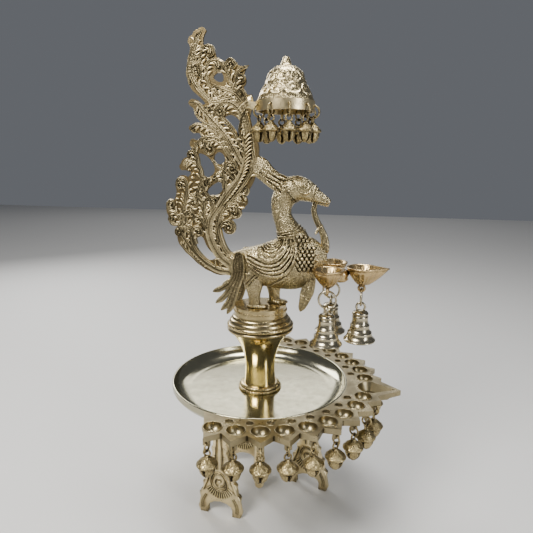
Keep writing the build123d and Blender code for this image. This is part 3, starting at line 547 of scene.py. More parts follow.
def add_curls(tail):
    """Small rings with a leaf through them, wherever the plate is still bare."""
    carved = np.array(tail.verts)[:, [0, 2]][::5]
    chance = np.random.default_rng(7)
    for z in np.arange(240, 466, 4.0):
        for x in np.arange(-96, -4, 4.0):
            spot = np.array([x, z]) + chance.uniform(-0.8, 0.8, 2)
            backed = all(on_plate(spot + step) for step in ((0, 0), (2, 0), (-2, 0), (0, 2), (0, -2)))
            if backed and np.hypot(*(carved - spot).T).min() > 1.7:
                tail.add(torus((spot[0], 0, spot[1]), (0, 1, 0), 1.7, 0.8, 16, 8))
                tail.add(frond([spot - 1.2, spot, spot + (2.2, -1.0)], (0.9, 1.2, 0.6), 2.9, 1, sides=12))


def tail_carving():
    tail = Parts()
    for points, widths, thick, ridges, eye in TRUNKS:
        tail.add(frond(points, widths, thick, ridges, eye, notch=0.12))
    for index, (points, widths, eye) in enumerate(SCROLLS):
        tail.add(frond(points, widths, 3.2 + 0.25 * (index % 4), 3, eye))
    add_braid(tail)
    arm_to_canopy = [(-18, 396.5), (-13, 399.8), (-7.6, 400.5)]
    tail.add(frond(arm_to_canopy, (4.6, 6.0, 6.6), 3.1, 4, groove=0.3))
    strut_root = [(-12, 347), (-6, 344), (0, 340)]
    tail.add(frond(strut_root, (8.4, 7.2, 6.4), 3.6, 4, groove=0.35))
    for index, (points, *_) in enumerate(TRUNKS):
        add_leaflets(tail, points, 8 + index % 3, 7, 7.0)
    for index, (points, *_) in enumerate(SCROLLS):
        add_leaflets(tail, points, 4 + index % 4, 6, 5.4)
    add_curls(tail)
    return tail


make_piece("tail_carving", tail_carving(), ANTIQUE, stands_for=("tail_plume",))
# The tail's plate as the web behind the carving, in near-black painted shade for the gaps between the strands
make_piece("tail_gap_painted_shade_web", Parts(*PLATE_SHELL), TAIL_GAP_SHADE, smooth=False)


# Bird: one skin round the body, legs and toes, with carved feathers

def one_skin(shells, voxel, relax):
    """A single closed skin round overlapping shells: its points, normals and faces."""
    mesh = bpy.data.meshes.new("skin")
    mesh.from_pydata(shells.verts, [], shells.faces)
    rough = bpy.data.objects.new("skin", mesh)
    bpy.context.collection.objects.link(rough)
    remesh = rough.modifiers.new("remesh", "REMESH")
    remesh.mode = "VOXEL"
    remesh.voxel_size = voxel
    evaluated = rough.evaluated_get(bpy.context.evaluated_depsgraph_get())
    skin = bpy.data.meshes.new_from_object(evaluated)
    bpy.data.objects.remove(rough)
    count = len(skin.vertices)
    points = np.empty(count * 3)
    skin.vertices.foreach_get("co", points)
    points = points.reshape(-1, 3)
    edges = np.empty(len(skin.edges) * 2, int)
    skin.edges.foreach_get("vertices", edges)
    a, b = edges.reshape(-1, 2).T
    degree = np.bincount(np.concatenate([a, b]), minlength=count)[:, None]
    for _ in range(relax):
        total = np.zeros_like(points)
        np.add.at(total, a, points[b])
        np.add.at(total, b, points[a])
        points = 0.5 * points + 0.5 * total / degree
    skin.vertices.foreach_set("co", points.ravel())
    skin.update()
    normals = np.array([v.normal for v in skin.vertices])
    return points, normals, [tuple(p.vertices) for p in skin.polygons]


def stroke(flat, line, width, height):
    """A ridge (or, with a negative height, a groove) along a line, as a height at each flat point."""
    path = smooth_path(line, 0.3)
    low, high = path.min(axis=0) - width, path.max(axis=0) + width
    near = np.nonzero(np.all((flat > low) & (flat < high), axis=1))[0]
    lift = np.zeros(len(flat))
    for start in range(0, len(near), 4000):
        some = near[start:start + 4000]
        gap = np.sqrt(((flat[some, None, :] - path[None, :, :]) ** 2).sum(axis=2)).min(axis=1)
        lift[some] = height * np.cos(np.clip(gap / width, 0, 1) * pi / 2) ** 2
    return lift


def inside(flat, outline):
    """Which flat points lie inside a closed outline."""
    x, z = flat.T
    found = np.zeros(len(flat), bool)
    for (ax, az), (bx, bz) in zip(outline, outline[1:] + outline[:1]):
        if az != bz:
            found ^= ((az > z) != (bz > z)) & (x < (bx - ax) * (z - az) / (bz - az) + ax)
    return found


# Lines of the carving in the side view, as (distance forwards, height)
WING_BAND = [
    [(28.5, 277.6), (28.2, 270.3), (24.1, 263.4), (17.4, 258.0), (9.7, 256.3), (4.5, 259.0), (0, 266.6)],
    [(26.2, 277.0), (25.3, 270.2), (21.7, 265.4), (16.5, 261.1), (10.6, 259.9), (6.8, 262.3), (2.7, 267.6)],
]
WING_HATCH = [
    [(4.0, 267.5), (9.6, 263.9), (16.4, 264.3), (22.0, 268.3), (24.6, 272.7)],
    [(5.2, 269.0), (10.6, 266.0), (16.8, 266.6), (21.6, 270.4), (23.8, 274.4)],
    [(6.6, 270.5), (11.5, 268.1), (17.2, 268.9), (21.0, 272.3), (22.6, 275.6)],
    [(8.4, 271.7), (12.7, 270.2), (17.4, 271.3), (20.4, 274.6)],
    [(10.4, 272.9), (13.8, 272.2), (17.6, 273.8), (19.2, 276.4)],
]
WING_FEATHERS = [
    [(30.1, 276.8), (30.5, 269.7), (26.8, 262.0), (20.1, 255.6), (11.6, 253.4), (3.0, 255.3), (-5.7, 258.2),
     (-10.4, 258.8)],
    [(31.6, 276.8), (32.6, 269.0), (29.4, 260.6), (22.3, 252.9), (13.4, 250.2), (3.0, 251.2), (-8.8, 255.3)],
    [(32.8, 276.5), (34.4, 268.2), (31.7, 258.9), (24.5, 250.1), (15.1, 246.9), (4.8, 247.7), (-6.6, 251.8)],
    [(33.9, 275.7), (36.0, 267.3), (34.2, 257.1), (27.6, 247.3), (18.2, 243.4), (7.4, 244.1), (-3.2, 248.6)],
]
WING_EDGE = [
    (34.4, 278.1), (37.6, 272), (38.4, 265.9), (36.9, 255.3), (30.5, 244.3), (21.2, 240.0), (11.8, 240.0),
    (2.2, 243.6), (-7.6, 250.0), (-12.3, 257.0), (-8, 262), (1, 267), (12, 276), (22, 279.5),
]
NECK_COLLAR = [
    [(12.4, 282.4), (19.4, 282.2), (27.1, 283.7), (33.0, 285.8), (40.8, 290.1)],
    [(12.6, 280.0), (18.6, 280.1), (28.8, 281.7), (34.7, 283.6), (43.3, 288.1)],
    [(13.0, 277.4), (17.8, 277.6), (28.9, 279.0), (36.4, 281.5), (46.9, 286.3)],
]
HEAD_BANDS = [
    [(18.0, 330.2), (20.0, 327.6), (24.7, 321.6), (29.0, 316.4), (33.9, 310.2)],
    [(21.3, 329.8), (26.8, 322.4), (30.8, 317.2), (36.0, 311.0)],
]
STRUT_LINES = [
    [(-0.9, 337.2), (7.7, 331.9), (14.6, 328.9), (19.5, 326.8)],
    [(2.5, 340.8), (10.3, 335.8), (17.1, 332.2), (22.6, 330.1), (28.8, 332.6), (36.3, 334.4)],
    [(6.9, 329.5), (13.7, 325.1), (17.2, 322.4), (20.6, 319.6)],
]
EYE = (43.2, 325.6)
EYE_SWIRL = [
    [(EYE[0] + 3.6 * cos(a), EYE[1] + 3.4 * sin(a)) for a in np.linspace(0, tau, 25)],
    [(46.9, 324.9), (48.2, 322.3), (47.1, 319.7), (43.4, 318.4), (39.4, 319.6)],
    [(39.8, 325.6), (36.9, 325.1), (34.0, 326.5), (31.6, 329.4)],
]
BEAK_BANDS = [[(54.6, 326.7), (53.3, 319.2), (50.4, 310.2)], [(52.4, 326.8), (51.0, 319.1), (48.1, 310.4)]]
MOUTH = [[(54.8, 310.6), (60.4, 309.4), (66.2, 309.6)], [(58.2, 313.0), (61.1, 312.1), (63.6, 311.9)]]
THIGH = [
    [(-11.3, 231.3), (-6.3, 237.0), (-1.8, 241.2)], [(-9.0, 229.6), (-4.0, 235.3), (0.4, 239.6)],
    [(5.1, 226.4), (13.1, 231.8), (20.0, 236.4), (25.9, 240.4)],
]


def chest_scales(flat):
    """Rows of overlapping round scales over the breast: each one domed, with a groove under it."""
    lift = np.zeros(len(flat))
    for row in range(10):
        height = 279.5 - row * 3.3
        start = 37.4 if row < 3 else 39.6
        for column in range(5):
            x = start + 3.9 * column + (1.95 if row % 2 else 0)
            if x > 52.5 + (1.5 if row > 2 else -3.5):
                continue
            arc = [(x + 1.9 * cos(a), height + 2.4 * sin(a)) for a in np.linspace(-pi * 1.02, pi * 0.02, 9)]
            lift += stroke(flat, arc, 0.85, -0.95)
            gap = ((flat[:, 0] - x) / 1.7) ** 2 + ((flat[:, 1] - height + 0.7) / 1.9) ** 2
            lift += 0.5 * np.clip(1 - gap, 0, 1)
    return lift


def carve_bird(points, normals):
    """Lifts the bird's skin into wings, feathers, scales, collars and eyes."""
    flat = points[:, [0, 2]]
    sideways = np.clip((np.abs(normals[:, 1]) - 0.1) / 0.35, 0, 1)
    wing = inside(flat, WING_EDGE) & (np.abs(points[:, 1]) > 5)
    lift = np.where(wing, 1.1, 0.0)
    for lines, width, height in (
        (WING_BAND, 1.0, 1.0), (WING_HATCH, 0.9, -1.0), (WING_FEATHERS, 1.05, -1.35),
        (EYE_SWIRL, 0.95, 0.9), (STRUT_LINES, 1.0, -1.2), (MOUTH, 0.7, -0.9), (THIGH, 0.9, -1.0),
    ):
        for line in lines:
            lift += stroke(flat, line, width, height)
    lift += np.where(wing, 0, chest_scales(flat))
    x, _, z = points.T
    barbs = np.cos(tau * (x * 0.8 - z * 0.6) / 1.9)
    lift += np.where(wing, 0.24 * barbs, 0)
    stipple = np.cos(2.4 * x + 1.3 * z) * np.cos(2.2 * z - 1.1 * x)
    plain = ~wing & ((z < 276) | (x < 33))
    lift += np.where(plain, 0.34 * stipple, 0)
    lift *= sideways
    for lines, width, height in ((NECK_COLLAR, 1.0, 1.0), (HEAD_BANDS, 0.9, 0.85), (BEAK_BANDS, 0.8, 0.75)):
        for line in lines:
            lift += stroke(flat, line, width, height)
    return points + normals * lift[:, None]


# Along the body: distance forwards, lowest and highest points, half width
BODY = [
    (-31, 238, 259, 5), (-17, 234, 264, 12), (0, 229, 269, 18), (18, 226.5, 276, 21), (36, 227, 280, 19.5),
    (50, 233, 277.5, 13.5), (59, 243, 271, 7.5), (64.5, 251, 264, 3),
]
# Up the neck to the beak: distance forwards, height, pitch from level, half sizes fore-and-aft and across
NECK = [
    (35, 263, 24, 15, 13), (31.5, 276, 24, 14.5, 11.5), (25, 289, 14, 10.4, 9.6), (20.5, 299, 2, 9.2, 8.6),
    (20.5, 310, -22, 10.6, 8.8), (26.5, 320, -58, 12.4, 9.6), (36.5, 323, -90, 11.7, 9.6),
    (46, 320.2, -106, 9.4, 7.8), (53.4, 315.8, -118, 6.3, 5.0), (59.6, 312.4, -116, 5.2, 3.7),
    (65.4, 309.8, -112, 3.5, 2.5),
]
# Up each leg from its foot: height, half length, half width, lean forwards
LEG = [(208.6, 6.2, 4.9, 0), (214, 5.6, 4.6, 0), (222, 6.6, 5.2, -0.5), (231, 9.6, 6.6, -1), (242, 12, 7, 0)]
LEG_PLACES = [(-3.5, -10.5), (12.0, 10.5)]
# Up the rounded pad under each leg: height, half length, half width
PAD = [(208.3, 10.6, 5.2), (209.6, 11, 5.4), (210.8, 9.6, 4.6), (212, 6, 4)]
# From the tail to the head: distance forwards, height, half depth, half thickness
STRUT = [
    (-7, 346, 7.6, 2.6), (-1, 342, 9.6, 3.2), (6, 335.5, 8.6, 3.6), (14, 329.5, 8.4, 5), (22, 325.5, 9, 7),
]


def add_body(shells):
    shells.add(grid_shell([
        oval((x, 0, (low + high) / 2), (0, half, 0), (0, 0, (high - low) / 2))
        for x, low, high, half in smooth_path(BODY, 2.0)
    ]))
    rings = []
    for x, z, pitch, long_half, wide in smooth_path(NECK, 2.0):
        a = radians(pitch)
        rings.append(oval((x, 0, z), (long_half * cos(a), 0, long_half * sin(a)), (0, wide, 0)))
    shells.add(grid_shell(rings))


def add_strut(shells):
    path = smooth_path(STRUT, 2.0)
    run = np.gradient(path[:, :2], axis=0)
    run /= np.linalg.norm(run, axis=1)[:, None]
    shells.add(grid_shell([
        oval((x, 0, z), (-rz * deep, 0, rx * deep), (0, thick, 0))
        for (x, z, deep, thick), (rx, rz) in zip(path, run)
    ]))


def add_leg(shells, x, y):
    """A leg that leans inwards as it rises, its pad and its three toes."""
    shells.add(grid_shell([
        oval((x + lean, y * (1 - (z - 208) / 220), z), (long_half, 0, 0), (0, wide, 0))
        for z, long_half, wide, lean in smooth_path(LEG, 2.0)
    ]))
    shells.add(grid_shell([
        oval((x + 3, y, z), (long_half, 0, 0), (0, wide, 0)) for z, long_half, wide in PAD
    ]))
    for spread in (-0.32, 0.0, 0.32):
        toe, toe_faces = ball((0, 0, 0), (8.4, 1.9, 1.7), 16, 10)
        c, s = cos(spread), sin(spread)
        shells.add((
            [(x + 5.3 + px * c - py * s, y + px * s + py * c, 210.4 + pz) for px, py, pz in toe],
            toe_faces,
        ))


def bird_carving():
    shells = Parts()
    add_body(shells)
    add_strut(shells)
    for x, y in LEG_PLACES:
        add_leg(shells, x, y)
    points, normals, faces = one_skin(shells, 0.6, 5)
    return Parts(carve_bird(points, normals), faces)


def bird_eyes():
    eyes = Parts()
    for side in (-1, 1):
        eyes.add(ball((EYE[0], side * 8.4, EYE[1]), (1.7, 1.1, 1.6), 18, 10))
    return eyes


def vine():
    """The stem from the beak to the breast, with one small leaf."""
    stem = Parts()
    stem.add(frond(
        [(52.5, 313), (50.9, 303), (53.6, 294), (58.2, 285.5), (61.6, 277), (62.4, 268), (60.5, 260)],
        (2.3, 3.0, 4.6), 3.0, groove=0.45, notch=0.2,
    ))
    stem.add(frond([(53, 281), (56, 286), (60, 290)], (1.0, 1.8, 0.6), 2.6, 1))
    return stem


TASSEL_STRANDS = [
    [(-19.4, 262.4), (-22.4, 252), (-22.6, 241), (-27.8, 231.5), (-36, 226), (-44.2, 222.5)],
    [(-18.2, 263), (-19.8, 252), (-20.0, 241), (-25.2, 229.5), (-33, 218), (-41.4, 211)],
    [(-16.8, 263), (-17.0, 252), (-17.2, 241), (-22.2, 227.8), (-29, 212), (-36.0, 204)],
    [(-15.6, 262.4), (-14.0, 252), (-14.6, 241), (-19.2, 228), (-24.4, 212), (-30.0, 200.6)],
]


def tassels():
    """The long feathers that hang at both sides of the rump."""
    feathers = Parts()
    for side in (-1, 1):
        for index, strand in enumerate(TASSEL_STRANDS):
            thick = 2.5 - 0.2 * (index % 2)
            y = side * 15.2
            feathers.add(frond(strand, (1.5, 2.6, 3.1), thick, 4, plane_y=y, groove=0.45, notch=0.4))
        feathers.add(ball((-18.0, side * 13.8, 258.6), (5.2, 2.8, 4.6), 24, 12))
    return feathers


def tufts():
    """The short feathers under the breast."""
    feathers = Parts()
    strand = [(49, 239), (47.5, 228), (44.5, 216), (41, 206)]
    for side in (-1, 1):
        feathers.add(frond(strand, (5.0, 6.0, 2.6), 2.5, 6, plane_y=side * 6.5, groove=0.4, notch=0.4))
    return feathers


make_piece("bird_carving", bird_carving(), BIRD, stands_for=("bird_body", "bird_legs"))
make_piece("bird_eyes", bird_eyes(), BIRD)
make_piece("vine_carving", vine(), BIRD, stands_for=("beak_vine",))
make_piece("tassel_carving", tassels(), BIRD, stands_for=("tail_tassels",))
make_piece("tuft_carving", tufts(), BIRD, stands_for=("chest_tufts",))


# Canopy dome: two rows of leaves over a hatched foot

CANOPY_X = 22.3
DOME_LINE = [(26.4, 400.6), (25.6, 402), (20.9, 411), (17.4, 419), (14.8, 426), (9.4, 430)]
DOME_INSIDE = [(8.0, 427.8), (12.4, 424), (15.0, 418), (18.4, 410), (22.6, 400.6)]
FINIAL = [
    (0.4, 438.6), (2.3, 438.5), (3.0, 437.9), (3.7, 435.8), (4.6, 433.2), (5.6, 431.3), (7.0, 430.7),
    (8.3, 430.3), (8.3, 429.8), (0.4, 429.6),
]


def leaf(angle, height, count, middle, half_height, fill, shift=0.0):
    """Relief of one ring of leaves round the dome: a raised outline with a smaller leaf inside it."""
    step = tau / count
    across = ((angle / step + shift) % 1.0 - 0.5) * 2 / fill
    rise = (height - middle) / half_height
    narrow = 1 - 0.35 * max(0.0, rise)
    reach = sqrt((across / narrow) ** 2 + rise ** 2)
    outline = 0.95 * np.exp(-(((reach - 0.86) / 0.15) ** 2))
    heart = 0.8 * max(0.0, 1 - (reach / 0.5) ** 2)
    return outline + heart

def dome_relief(angle, radius, height):
    """Two rows of leaves with hatching above and below them, on the outer face only."""
    if radius <= np.interp(height, [400, 430], [24.2, 8.7]):
        return 0.0
    relief = leaf(angle, height, 9, 409.6, 5.6, 0.96)
    relief += 0.8 * leaf(angle, height, 8, 420.8, 5.0, 0.94, 0.5)
    if height < 403.6:
        relief = 0.35 * cos(64 * angle) - 0.2
    if 427.2 < height:
        relief = 0.22 * cos(30 * angle)
    return relief - 0.3


def dome():
    shell = Parts()
    profile = [tuple(p) for p in smooth_path(DOME_LINE, 0.45)]
    profile += [tuple(p) for p in smooth_path(DOME_INSIDE, 3.0)]
    shell.add(lathe(profile, 224, CANOPY_X, dome_relief))
    return shell


make_piece("canopy_carving", dome(), DOME, stands_for=("canopy_dome",))
finial = Parts(*turned(FINIAL, 48, CANOPY_X))
make_piece("canopy_finial_cast", finial, DOME, stands_for=("canopy_finial",))


# Jingle bells: a dimpled cap over a slotted lower half, hung from wire rings

CUP_ANGLES = [11.2 + 10.8 * k for k in range(9)]  # degrees from the big lamp, to either side
TOOTH_CIRCLE = 118  # radius of the holes under the crescent's teeth
TOOTH_HEIGHT = 124.5
BAND_CIRCLE = 25.6  # radius of the holes in the canopy's band
BAND_HEIGHT = 396.5
RING_WIRE = 0.85
RING_SEAT = 1.52  # how far the bell's loop reaches up into its ring
LOOP_RADIUS = 2.9


def jingle_profile(bell_radius, apex, belly, bottom):
    """The bell's outline from its apex down to its bottom."""
    slope = ((0.45, 5.6), (0.72, 3.6), (0.93, 1.6), (0.99, 0.9))
    shoulder = [(bell_radius * share, belly + up) for share, up in slope]
    cap = smooth_path([(1.0, apex + 0.4), (2.0, apex - 0.7)] + shoulder, 0.55)
    edge = belly - 0.8
    rim = [(bell_radius, belly + 0.2), (bell_radius * 0.96, belly - 0.5), (bell_radius * 0.83, edge)]
    lower = bell_radius * 0.8
    half_ball = []
    for i in range(1, 17):
        a = pi / 2 * i / 17
        half_ball.append((lower * cos(a), edge + (bottom - edge) * sin(a)))
    return [tuple(p) for p in cap] + rim + half_ball + [(0.25, bottom)]


def jingle(ring_radius, bell_radius):
    """A jingle bell hanging from a hole at the origin, with +X outwards."""
    loop_middle = -2 * ring_radius + RING_SEAT - LOOP_RADIUS
    apex = loop_middle - 2.5
    belly = apex - 8.0
    bottom = belly - bell_radius - 2.3

    def relief(angle, radius, height):
        """Dimples on the cap, a milled rim, and two crossed slots with round ends in the half ball."""
        if height > belly + 1.2:
            row = (apex - height) / 2.6
            return 0.3 * cos(9 * angle + pi * (int(row) % 2)) * sin(pi * (row % 1.0)) * min(1.0, radius / 4)
        if height > belly - 0.9:
            return 0.1 * cos(24 * angle)
        off = min(abs(radius * sin(angle)), abs(radius * cos(angle)))
        slot = max(0.0, 1 - max(0.0, off - 0.6) / 0.5) * min(1.0, max(0.0, belly - 2.2 - height) / 0.6)
        hole = hypot(off, height - belly + 2.6) < 1.5
        return -min(radius * 0.5, 2.4) * max(slot, 1.0 if hole else 0.0)

    bell = Parts()
    bell.add(torus((0, 0, -ring_radius), (0, 1, 0), ring_radius, RING_WIRE))
    bell.add(torus((0, 0, loop_middle), (1, 0, 0), LOOP_RADIUS, 0.8))
    bell.add(turned(jingle_profile(bell_radius, apex, belly, bottom), 72, relief=relief))
    return bell


def hang_jingles(jingle_bell, angles, name_form, centre_x, circle, height):
    """A copy of a jingle bell at each angle round a centre."""
    for number, angle in enumerate(angles, start=1):
        x = centre_x + circle * cos(radians(angle))
        y = circle * sin(radians(angle))
        name = name_form.format(number)
        bell = jingle_bell.hung(x, y, height, angle)
        make_piece(f"{name}_cast", bell, BELL, body=name, stands_for=(name,))


rim_angles = [-a for a in reversed(CUP_ANGLES)] + CUP_ANGLES
hang_jingles(jingle(4.1, 9.0), rim_angles, "rim_bell_{:02d}", 0, TOOTH_CIRCLE, TOOTH_HEIGHT)
hang_jingles(jingle(5.4, 7.6), range(-144, 145, 36), "canopy_bell_{}", CANOPY_X, BAND_CIRCLE, BAND_HEIGHT)


# Chest lamps and the stepped bells under them

LAMP_RIM = 251.8
BOWL_RADIUS = 14.8
BOWL_LEVELS = [  # scale, drop below the rim, rib depth: up the outside, over the rim and down the inside
    (0.16, 17.4, 0), (0.3, 16.6, 0.05), (0.52, 13.2, 0.07), (0.72, 9.2, 0.06), (0.88, 5.2, 0.05),
    (0.955, 2.6, 0.02), (0.93, 2.1, 0), (1.0, 1.5, 0), (1.005, 0.4, 0), (0.985, 0.0, 0), (0.9, 0.1, 0),
    (0.86, 1.0, 0), (0.72, 5.4, 0.03), (0.5, 10.2, 0.03), (0.22, 13.4, 0), (0.05, 14.0, 0),
]
CHEST_LAMPS = [(98.0, 0.0, 0.0, 24.5), (68.0, -19.0, -90.0, 18.5), (68.0, 19.0, 90.0, 18.5)]
ALONG_X, ALONG_Y = (1, 0, 0), (0, 1, 0)


def boat(x, y, heading, spout):
    """A ribbed boat-shaped bowl with a toothed rim and a point along its heading."""
    touch = pi / 2 - np.arcsin(BOWL_RADIUS / spout)

    def reach(angle):
        a = abs((angle + pi) % tau - pi)
        return BOWL_RADIUS if a > touch else BOWL_RADIUS / cos(touch - a)

    c, s = cos(radians(heading)), sin(radians(heading))
    rings = []
    for scale, drop, rib in BOWL_LEVELS:
        ring = []
        for j in range(96):
            angle = tau * j / 96
            r = reach(angle) * scale * (1 - rib * (0.5 + 0.5 * cos(16 * angle)))
            tooth = 0.35 * cos(24 * angle) if 0 < drop < 1.2 and scale > 0.95 else 0.0
            px, py = r * cos(angle), r * sin(angle)
            ring.append((x + px * c - py * s, y + px * s + py * c, LAMP_RIM - drop + tooth))
        rings.append(ring)
    return grid_shell(rings)


def chest_lamps():
    """Three bowls with a loop under each, on a short bracket with a turned boss."""
    lamps = Parts()
    for x, y, heading, spout in CHEST_LAMPS:
        lamps.add(boat(x, y, heading, spout))
        lamps.add(torus((x, y, 231.2), ALONG_Y if heading == 0 else ALONG_X, 2.7, 1.25, 28, 12))
        lamps.add(ball((x, y, 234.6), (2.4, 2.4, 1.6), 20, 10))
    boss = [(6.2, 248), (8.6, 247), (9.0, 244), (7.6, 241), (8.4, 239), (6.5, 237), (2.5, 236.2)]
    lamps.add(turned(boss, 48, 77))
    bracket = [(55, 4.4, 5.2), (62, 4.2, 4.6), (70, 4.4, 4.8), (78, 4.4, 4.6)]
    lamps.add(grid_shell([oval((x, 0, 243), (0, half, 0), (0, 0, tall)) for x, half, tall in bracket]))
    for y in (-9, 9):
        lamps.add(ball((72, y, 243.4), (4.6, 6, 3.6), 24, 12))
    return lamps


make_piece("chest_lamp_castings", chest_lamps(), LAMP, stands_for=("chest_lamps",))

PENDANT_OUTSIDE = [
    (1.2, 210.2), (4.6, 209.4), (6.6, 208.6), (7.8, 207.0), (7.7, 206.0), (6.7, 205.4), (6.9, 204.6),
    (7.6, 203.8), (7.4, 202.8), (7.3, 201.0), (7.8, 198.0), (8.4, 196.2), (9.1, 195.8), (9.2, 195.0),
    (8.8, 194.4), (9.5, 191.4), (10.4, 189.0), (11.4, 188.6), (11.5, 187.8), (11.2, 187.2), (12.4, 184.4),
    (13.8, 182.0), (15.0, 181.4), (15.2, 180.7), (14.9, 180.0),
]
PENDANT_INSIDE = [(13.6, 180.2), (11.4, 184), (9.0, 189), (7.2, 196), (5.6, 202), (0.5, 204.8)]
CLAPPER = [
    (0.5, 204.4), (0.8, 204), (0.75, 189), (1.3, 187.1), (2.7, 185.5), (3.3, 183.4), (2.8, 181.5),
    (1.4, 180.3), (0.5, 180),
]


def hang_pendant(number, x, y, heading):
    """A chest lamp's ring, stepped open bell and clapper."""
    ring_normal, loop_normal = (ALONG_X, ALONG_Y) if heading == 0 else (ALONG_Y, ALONG_X)
    ring = Parts(*torus((x, y, 223), ring_normal, 8.0, 1.05, 56, 14))
    bell = Parts(*turned(PENDANT_OUTSIDE + PENDANT_INSIDE, 80, x, y))
    bell.add(torus((x, y, 213.15), loop_normal, 4.0, 1.1, 40, 12))
    clapper = Parts(*turned(CLAPPER, 28, x, y))
    for kind, parts, ending in (("ring", ring, "wire"), ("bell", bell, "cast"), ("clapper", clapper, "cast")):
        name = f"pendant_{kind}_{number}"
        make_piece(f"{name}_{ending}", parts, SILVERY, body=name, stands_for=(name,))


for number, (x, y, heading, _) in enumerate(CHEST_LAMPS, start=1):
    hang_pendant(number, x, y, heading)


# Feet: a carved plate with a spiral medallion, a fringe, stepped notches and two toes

FOOT_PLACES = [(-29.0, -44.0, -3.6), (50.0, 21.0, -13.0), (-29.0, 44.0, 3.6)]  # x, y, degrees turned
FOOT_TOP = 118
MEDALLION = 37  # height of the medallion's middle
FOOT_EDGE = [  # one side of the plate, from its top down to the arch between the toes
    (10, FOOT_TOP), (7.6, 104), (6.0, 90), (6.8, 76), (8.6, 73), (7.2, 69), (8.8, 62), (10.8, 60), (9.6, 55),
    (11.6, 49), (13.8, 47.5), (12.8, 42), (15.4, 36), (18.2, 34.5), (17.4, 29), (19.4, 23), (22.0, 21.5),
    (21.2, 16), (22.4, 9), (23.4, 5), (21.5, 0), (13.6, 0), (13.8, 5), (11.2, 10), (6.2, 13), (0, 14),
]
FOOT_SPIRAL = [(8, 37), (6.8, 30), (0, 27.2), (-7.2, 30.4), (-8.8, 38), (-5.6, 44.6), (1.2, 46), (5.4, 41.6)]


def foot_plate():
    """The foot's plate with bevelled faces, x along it and y through it."""
    edge = FOOT_EDGE + [(-x, z) for x, z in reversed(FOOT_EDGE[:-1])]
    rings = []
    for y, grow in ((-2.5, 0.95), (-1.8, 1.0), (1.8, 1.0), (2.5, 0.95)):
        rings.append([(x * grow, y, z if z in (0, FOOT_TOP) else (z - 55) * grow + 55) for x, z in edge])
    return grid_shell(rings)


def foot_carving():
    """One foot in its own upright plane."""
    foot = Parts(*foot_plate())
    foot.add(frond(FOOT_SPIRAL, (1.8, 1.8, 1.5), 4.3, 2, (0, MEDALLION)))
    for i in range(13):
        a = 1.5 * pi + (i - 6) * 0.165
        ray = [(10.6 * cos(a), MEDALLION + 10.6 * sin(a)), (17.6 * cos(a), MEDALLION + 19.4 * sin(a))]
        foot.add(frond(ray, (0.9, 1.3, 0.7), 4.0, 1))
    for side in (-1, 1):
        stem = [(side * 2.6, 50), (side * 3.4, 66), (side * 2.4, 84), (side * 4.6, 112)]
        foot.add(frond(stem, (1.5, 1.3, 1.5), 4.0, 2))
        toe = [(side * 14.6, 20), (side * 18.2, 12), (side * 18, 2.4)]
        foot.add(frond(toe, (2.0, 2.6, 2.8), 3.8, 3))
        slope = [(side * 11.4, 44), (side * 14.6, 34), (side * 18.4, 24)]
        foot.add(frond(slope, (1.0, 1.5, 1.0), 3.9, 1))
        for z in (46, 55, 64, 73):
            foot.add(ball((side * (8.4 - 0.05 * z), 0, z), (1.6, 3.9, 1.6), 14, 8))
    return foot


for number, (x, y, degrees) in enumerate(FOOT_PLACES, start=1):
    foot = foot_carving().hung(x, y, 0, degrees)
    make_piece(f"foot_{number}_carving", foot, ANTIQUE, stands_for=(f"foot_{number}",))


# Beads and rims

BEAD_ROWS = [  # radius, height, count, size
    (20.7, 122.6, 44, 1.15), (19.2, 125.5, 44, 0.8), (25.7, 204.2, 56, 1.15), (32.2, 189.2, 72, 0.9),
]
CUP_CIRCLE = 107
HOLE_CIRCLE = 94.6
HOLE_OFFSET = 5.4  # degrees from each cup to the pierced hole beside it


def column_beads():
    beads = Parts()
    for radius, height, count, size in BEAD_ROWS:
        for j in range(count):
            a = tau * j / count
            beads.add(ball((radius * cos(a), radius * sin(a), height), (size, size, size), 10, 6))
    return beads


def rims_round(angles, circle, height, radius, wire, steps):
    """Thin rings round the crescent's cups or holes, at angles to both sides of the big lamp."""
    rims = Parts()
    for angle in [radians(side * a) for a in angles for side in (-1, 1)]:
        rims.add(torus((circle * cos(angle), circle * sin(angle), height), (0, 0, 1), radius, wire, steps, 8))
    return rims


make_piece("column_beads", column_beads(), CAP)
rims = rims_round(CUP_ANGLES, CUP_CIRCLE, 132.3, 8.1, 0.5, 44)
holes = rims_round([a + HOLE_OFFSET for a in CUP_ANGLES[:-1]], HOLE_CIRCLE, 132.2, 3.7, 0.4, 28)
rims.add((holes.verts, holes.faces))
make_piece("cup_rims", rims, SATIN)
make_piece("dish_rim", Parts(*torus((0, 0, 131.9), (0, 0, 1), 87.2, 1.0, 160, 12)), PALE)


# Camera, floor and light

CAMERA_DISTANCE = 466.9  # millimetres, level, from the column's axis
CAMERA_HEIGHT = 344.7
CAMERA_YAW = radians(13.63)
CAMERA_PITCH = radians(11.84)
CAMERA_PAN = radians(0.71)
CAMERA_ROLL = radians(0.49)
LAMP_MIDDLE = Vector((0, 0, 0.22))  # in metres, where the lights point


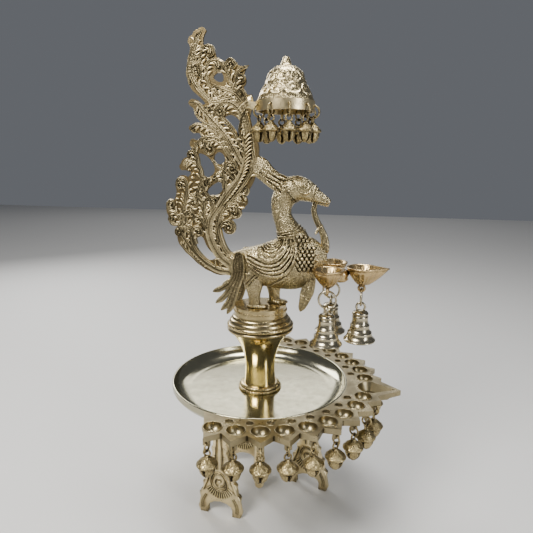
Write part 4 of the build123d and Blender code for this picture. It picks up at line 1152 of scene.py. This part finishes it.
def photo_camera():
    """The photo's view, from a pinhole fitted to it."""
    data = bpy.data.cameras.new("camera")
    data.sensor_width = 36.0
    data.lens = 32.9
    data.clip_start = 0.01
    camera = bpy.data.objects.new("camera", data)
    bpy.context.collection.objects.link(camera)
    bearing = CAMERA_YAW - CAMERA_PAN
    level = cos(CAMERA_PITCH)
    forward = Vector((-sin(bearing) * level, cos(bearing) * level, -sin(CAMERA_PITCH)))
    right = Vector((cos(bearing), sin(bearing), 0))
    up = right.cross(forward)
    rolled_right = right * cos(CAMERA_ROLL) + up * sin(CAMERA_ROLL)
    rolled_up = rolled_right.cross(forward)
    turn = Matrix((rolled_right, rolled_up, -forward)).transposed().to_4x4()
    place = Vector((
        COLUMN_X + CAMERA_DISTANCE * sin(CAMERA_YAW) * MM,
        -CAMERA_DISTANCE * cos(CAMERA_YAW) * MM,
        CAMERA_HEIGHT * MM,
    ))
    camera.matrix_world = Matrix.Translation(place) @ turn
    bpy.context.scene.camera = camera


def pale_floor():
    material = bpy.data.materials.new("pale_floor")
    material.use_nodes = True
    shader = material.node_tree.nodes["Principled BSDF"]
    shader.inputs["Roughness"].default_value = 0.7
    shader.inputs["Base Color"].default_value = (0.62, 0.61, 0.59, 1)
    bpy.ops.mesh.primitive_plane_add(size=6.0, location=(0, 0, 0))
    floor = bpy.context.object
    floor.name = "floor"
    floor.data.materials.append(material)


def soft_light(name, position, size, power, colour=(1, 1, 1)):
    """A rectangular light aimed at the middle of the lamp."""
    data = bpy.data.lights.new(name, "AREA")
    data.shape = "RECTANGLE"
    data.size, data.size_y = size
    data.energy = power
    data.color = colour
    light = bpy.data.objects.new(name, data)
    bpy.context.collection.objects.link(light)
    light.location = position
    light.rotation_euler = (LAMP_MIDDLE - Vector(position)).to_track_quat("-Z", "Y").to_euler()


def studio_world():
    world = bpy.data.worlds.new("studio")
    bpy.context.scene.world = world
    world.use_nodes = True
    background = world.node_tree.nodes["Background"]
    background.inputs["Color"].default_value = (0.42, 0.44, 0.48, 1)
    background.inputs["Strength"].default_value = 0.32


photo_camera()
pale_floor()
soft_light("key", (-0.55, -0.95, 1.15), (0.6, 0.45), 17, (1.0, 0.98, 0.94))
soft_light("fill", (1.1, -0.6, 0.55), (0.25, 0.9), 6, (0.95, 0.97, 1.0))
soft_light("top", (0.05, 0.15, 1.4), (0.8, 0.35), 11)
soft_light("rim", (-0.9, 0.8, 0.8), (0.4, 0.8), 7)
soft_light("back", (-0.7, 3.0, 1.85), (2.6, 0.7), 13)
studio_world()
bpy.context.scene.view_settings.view_transform = "AgX"
bpy.context.scene.view_settings.look = "AgX - Medium High Contrast"
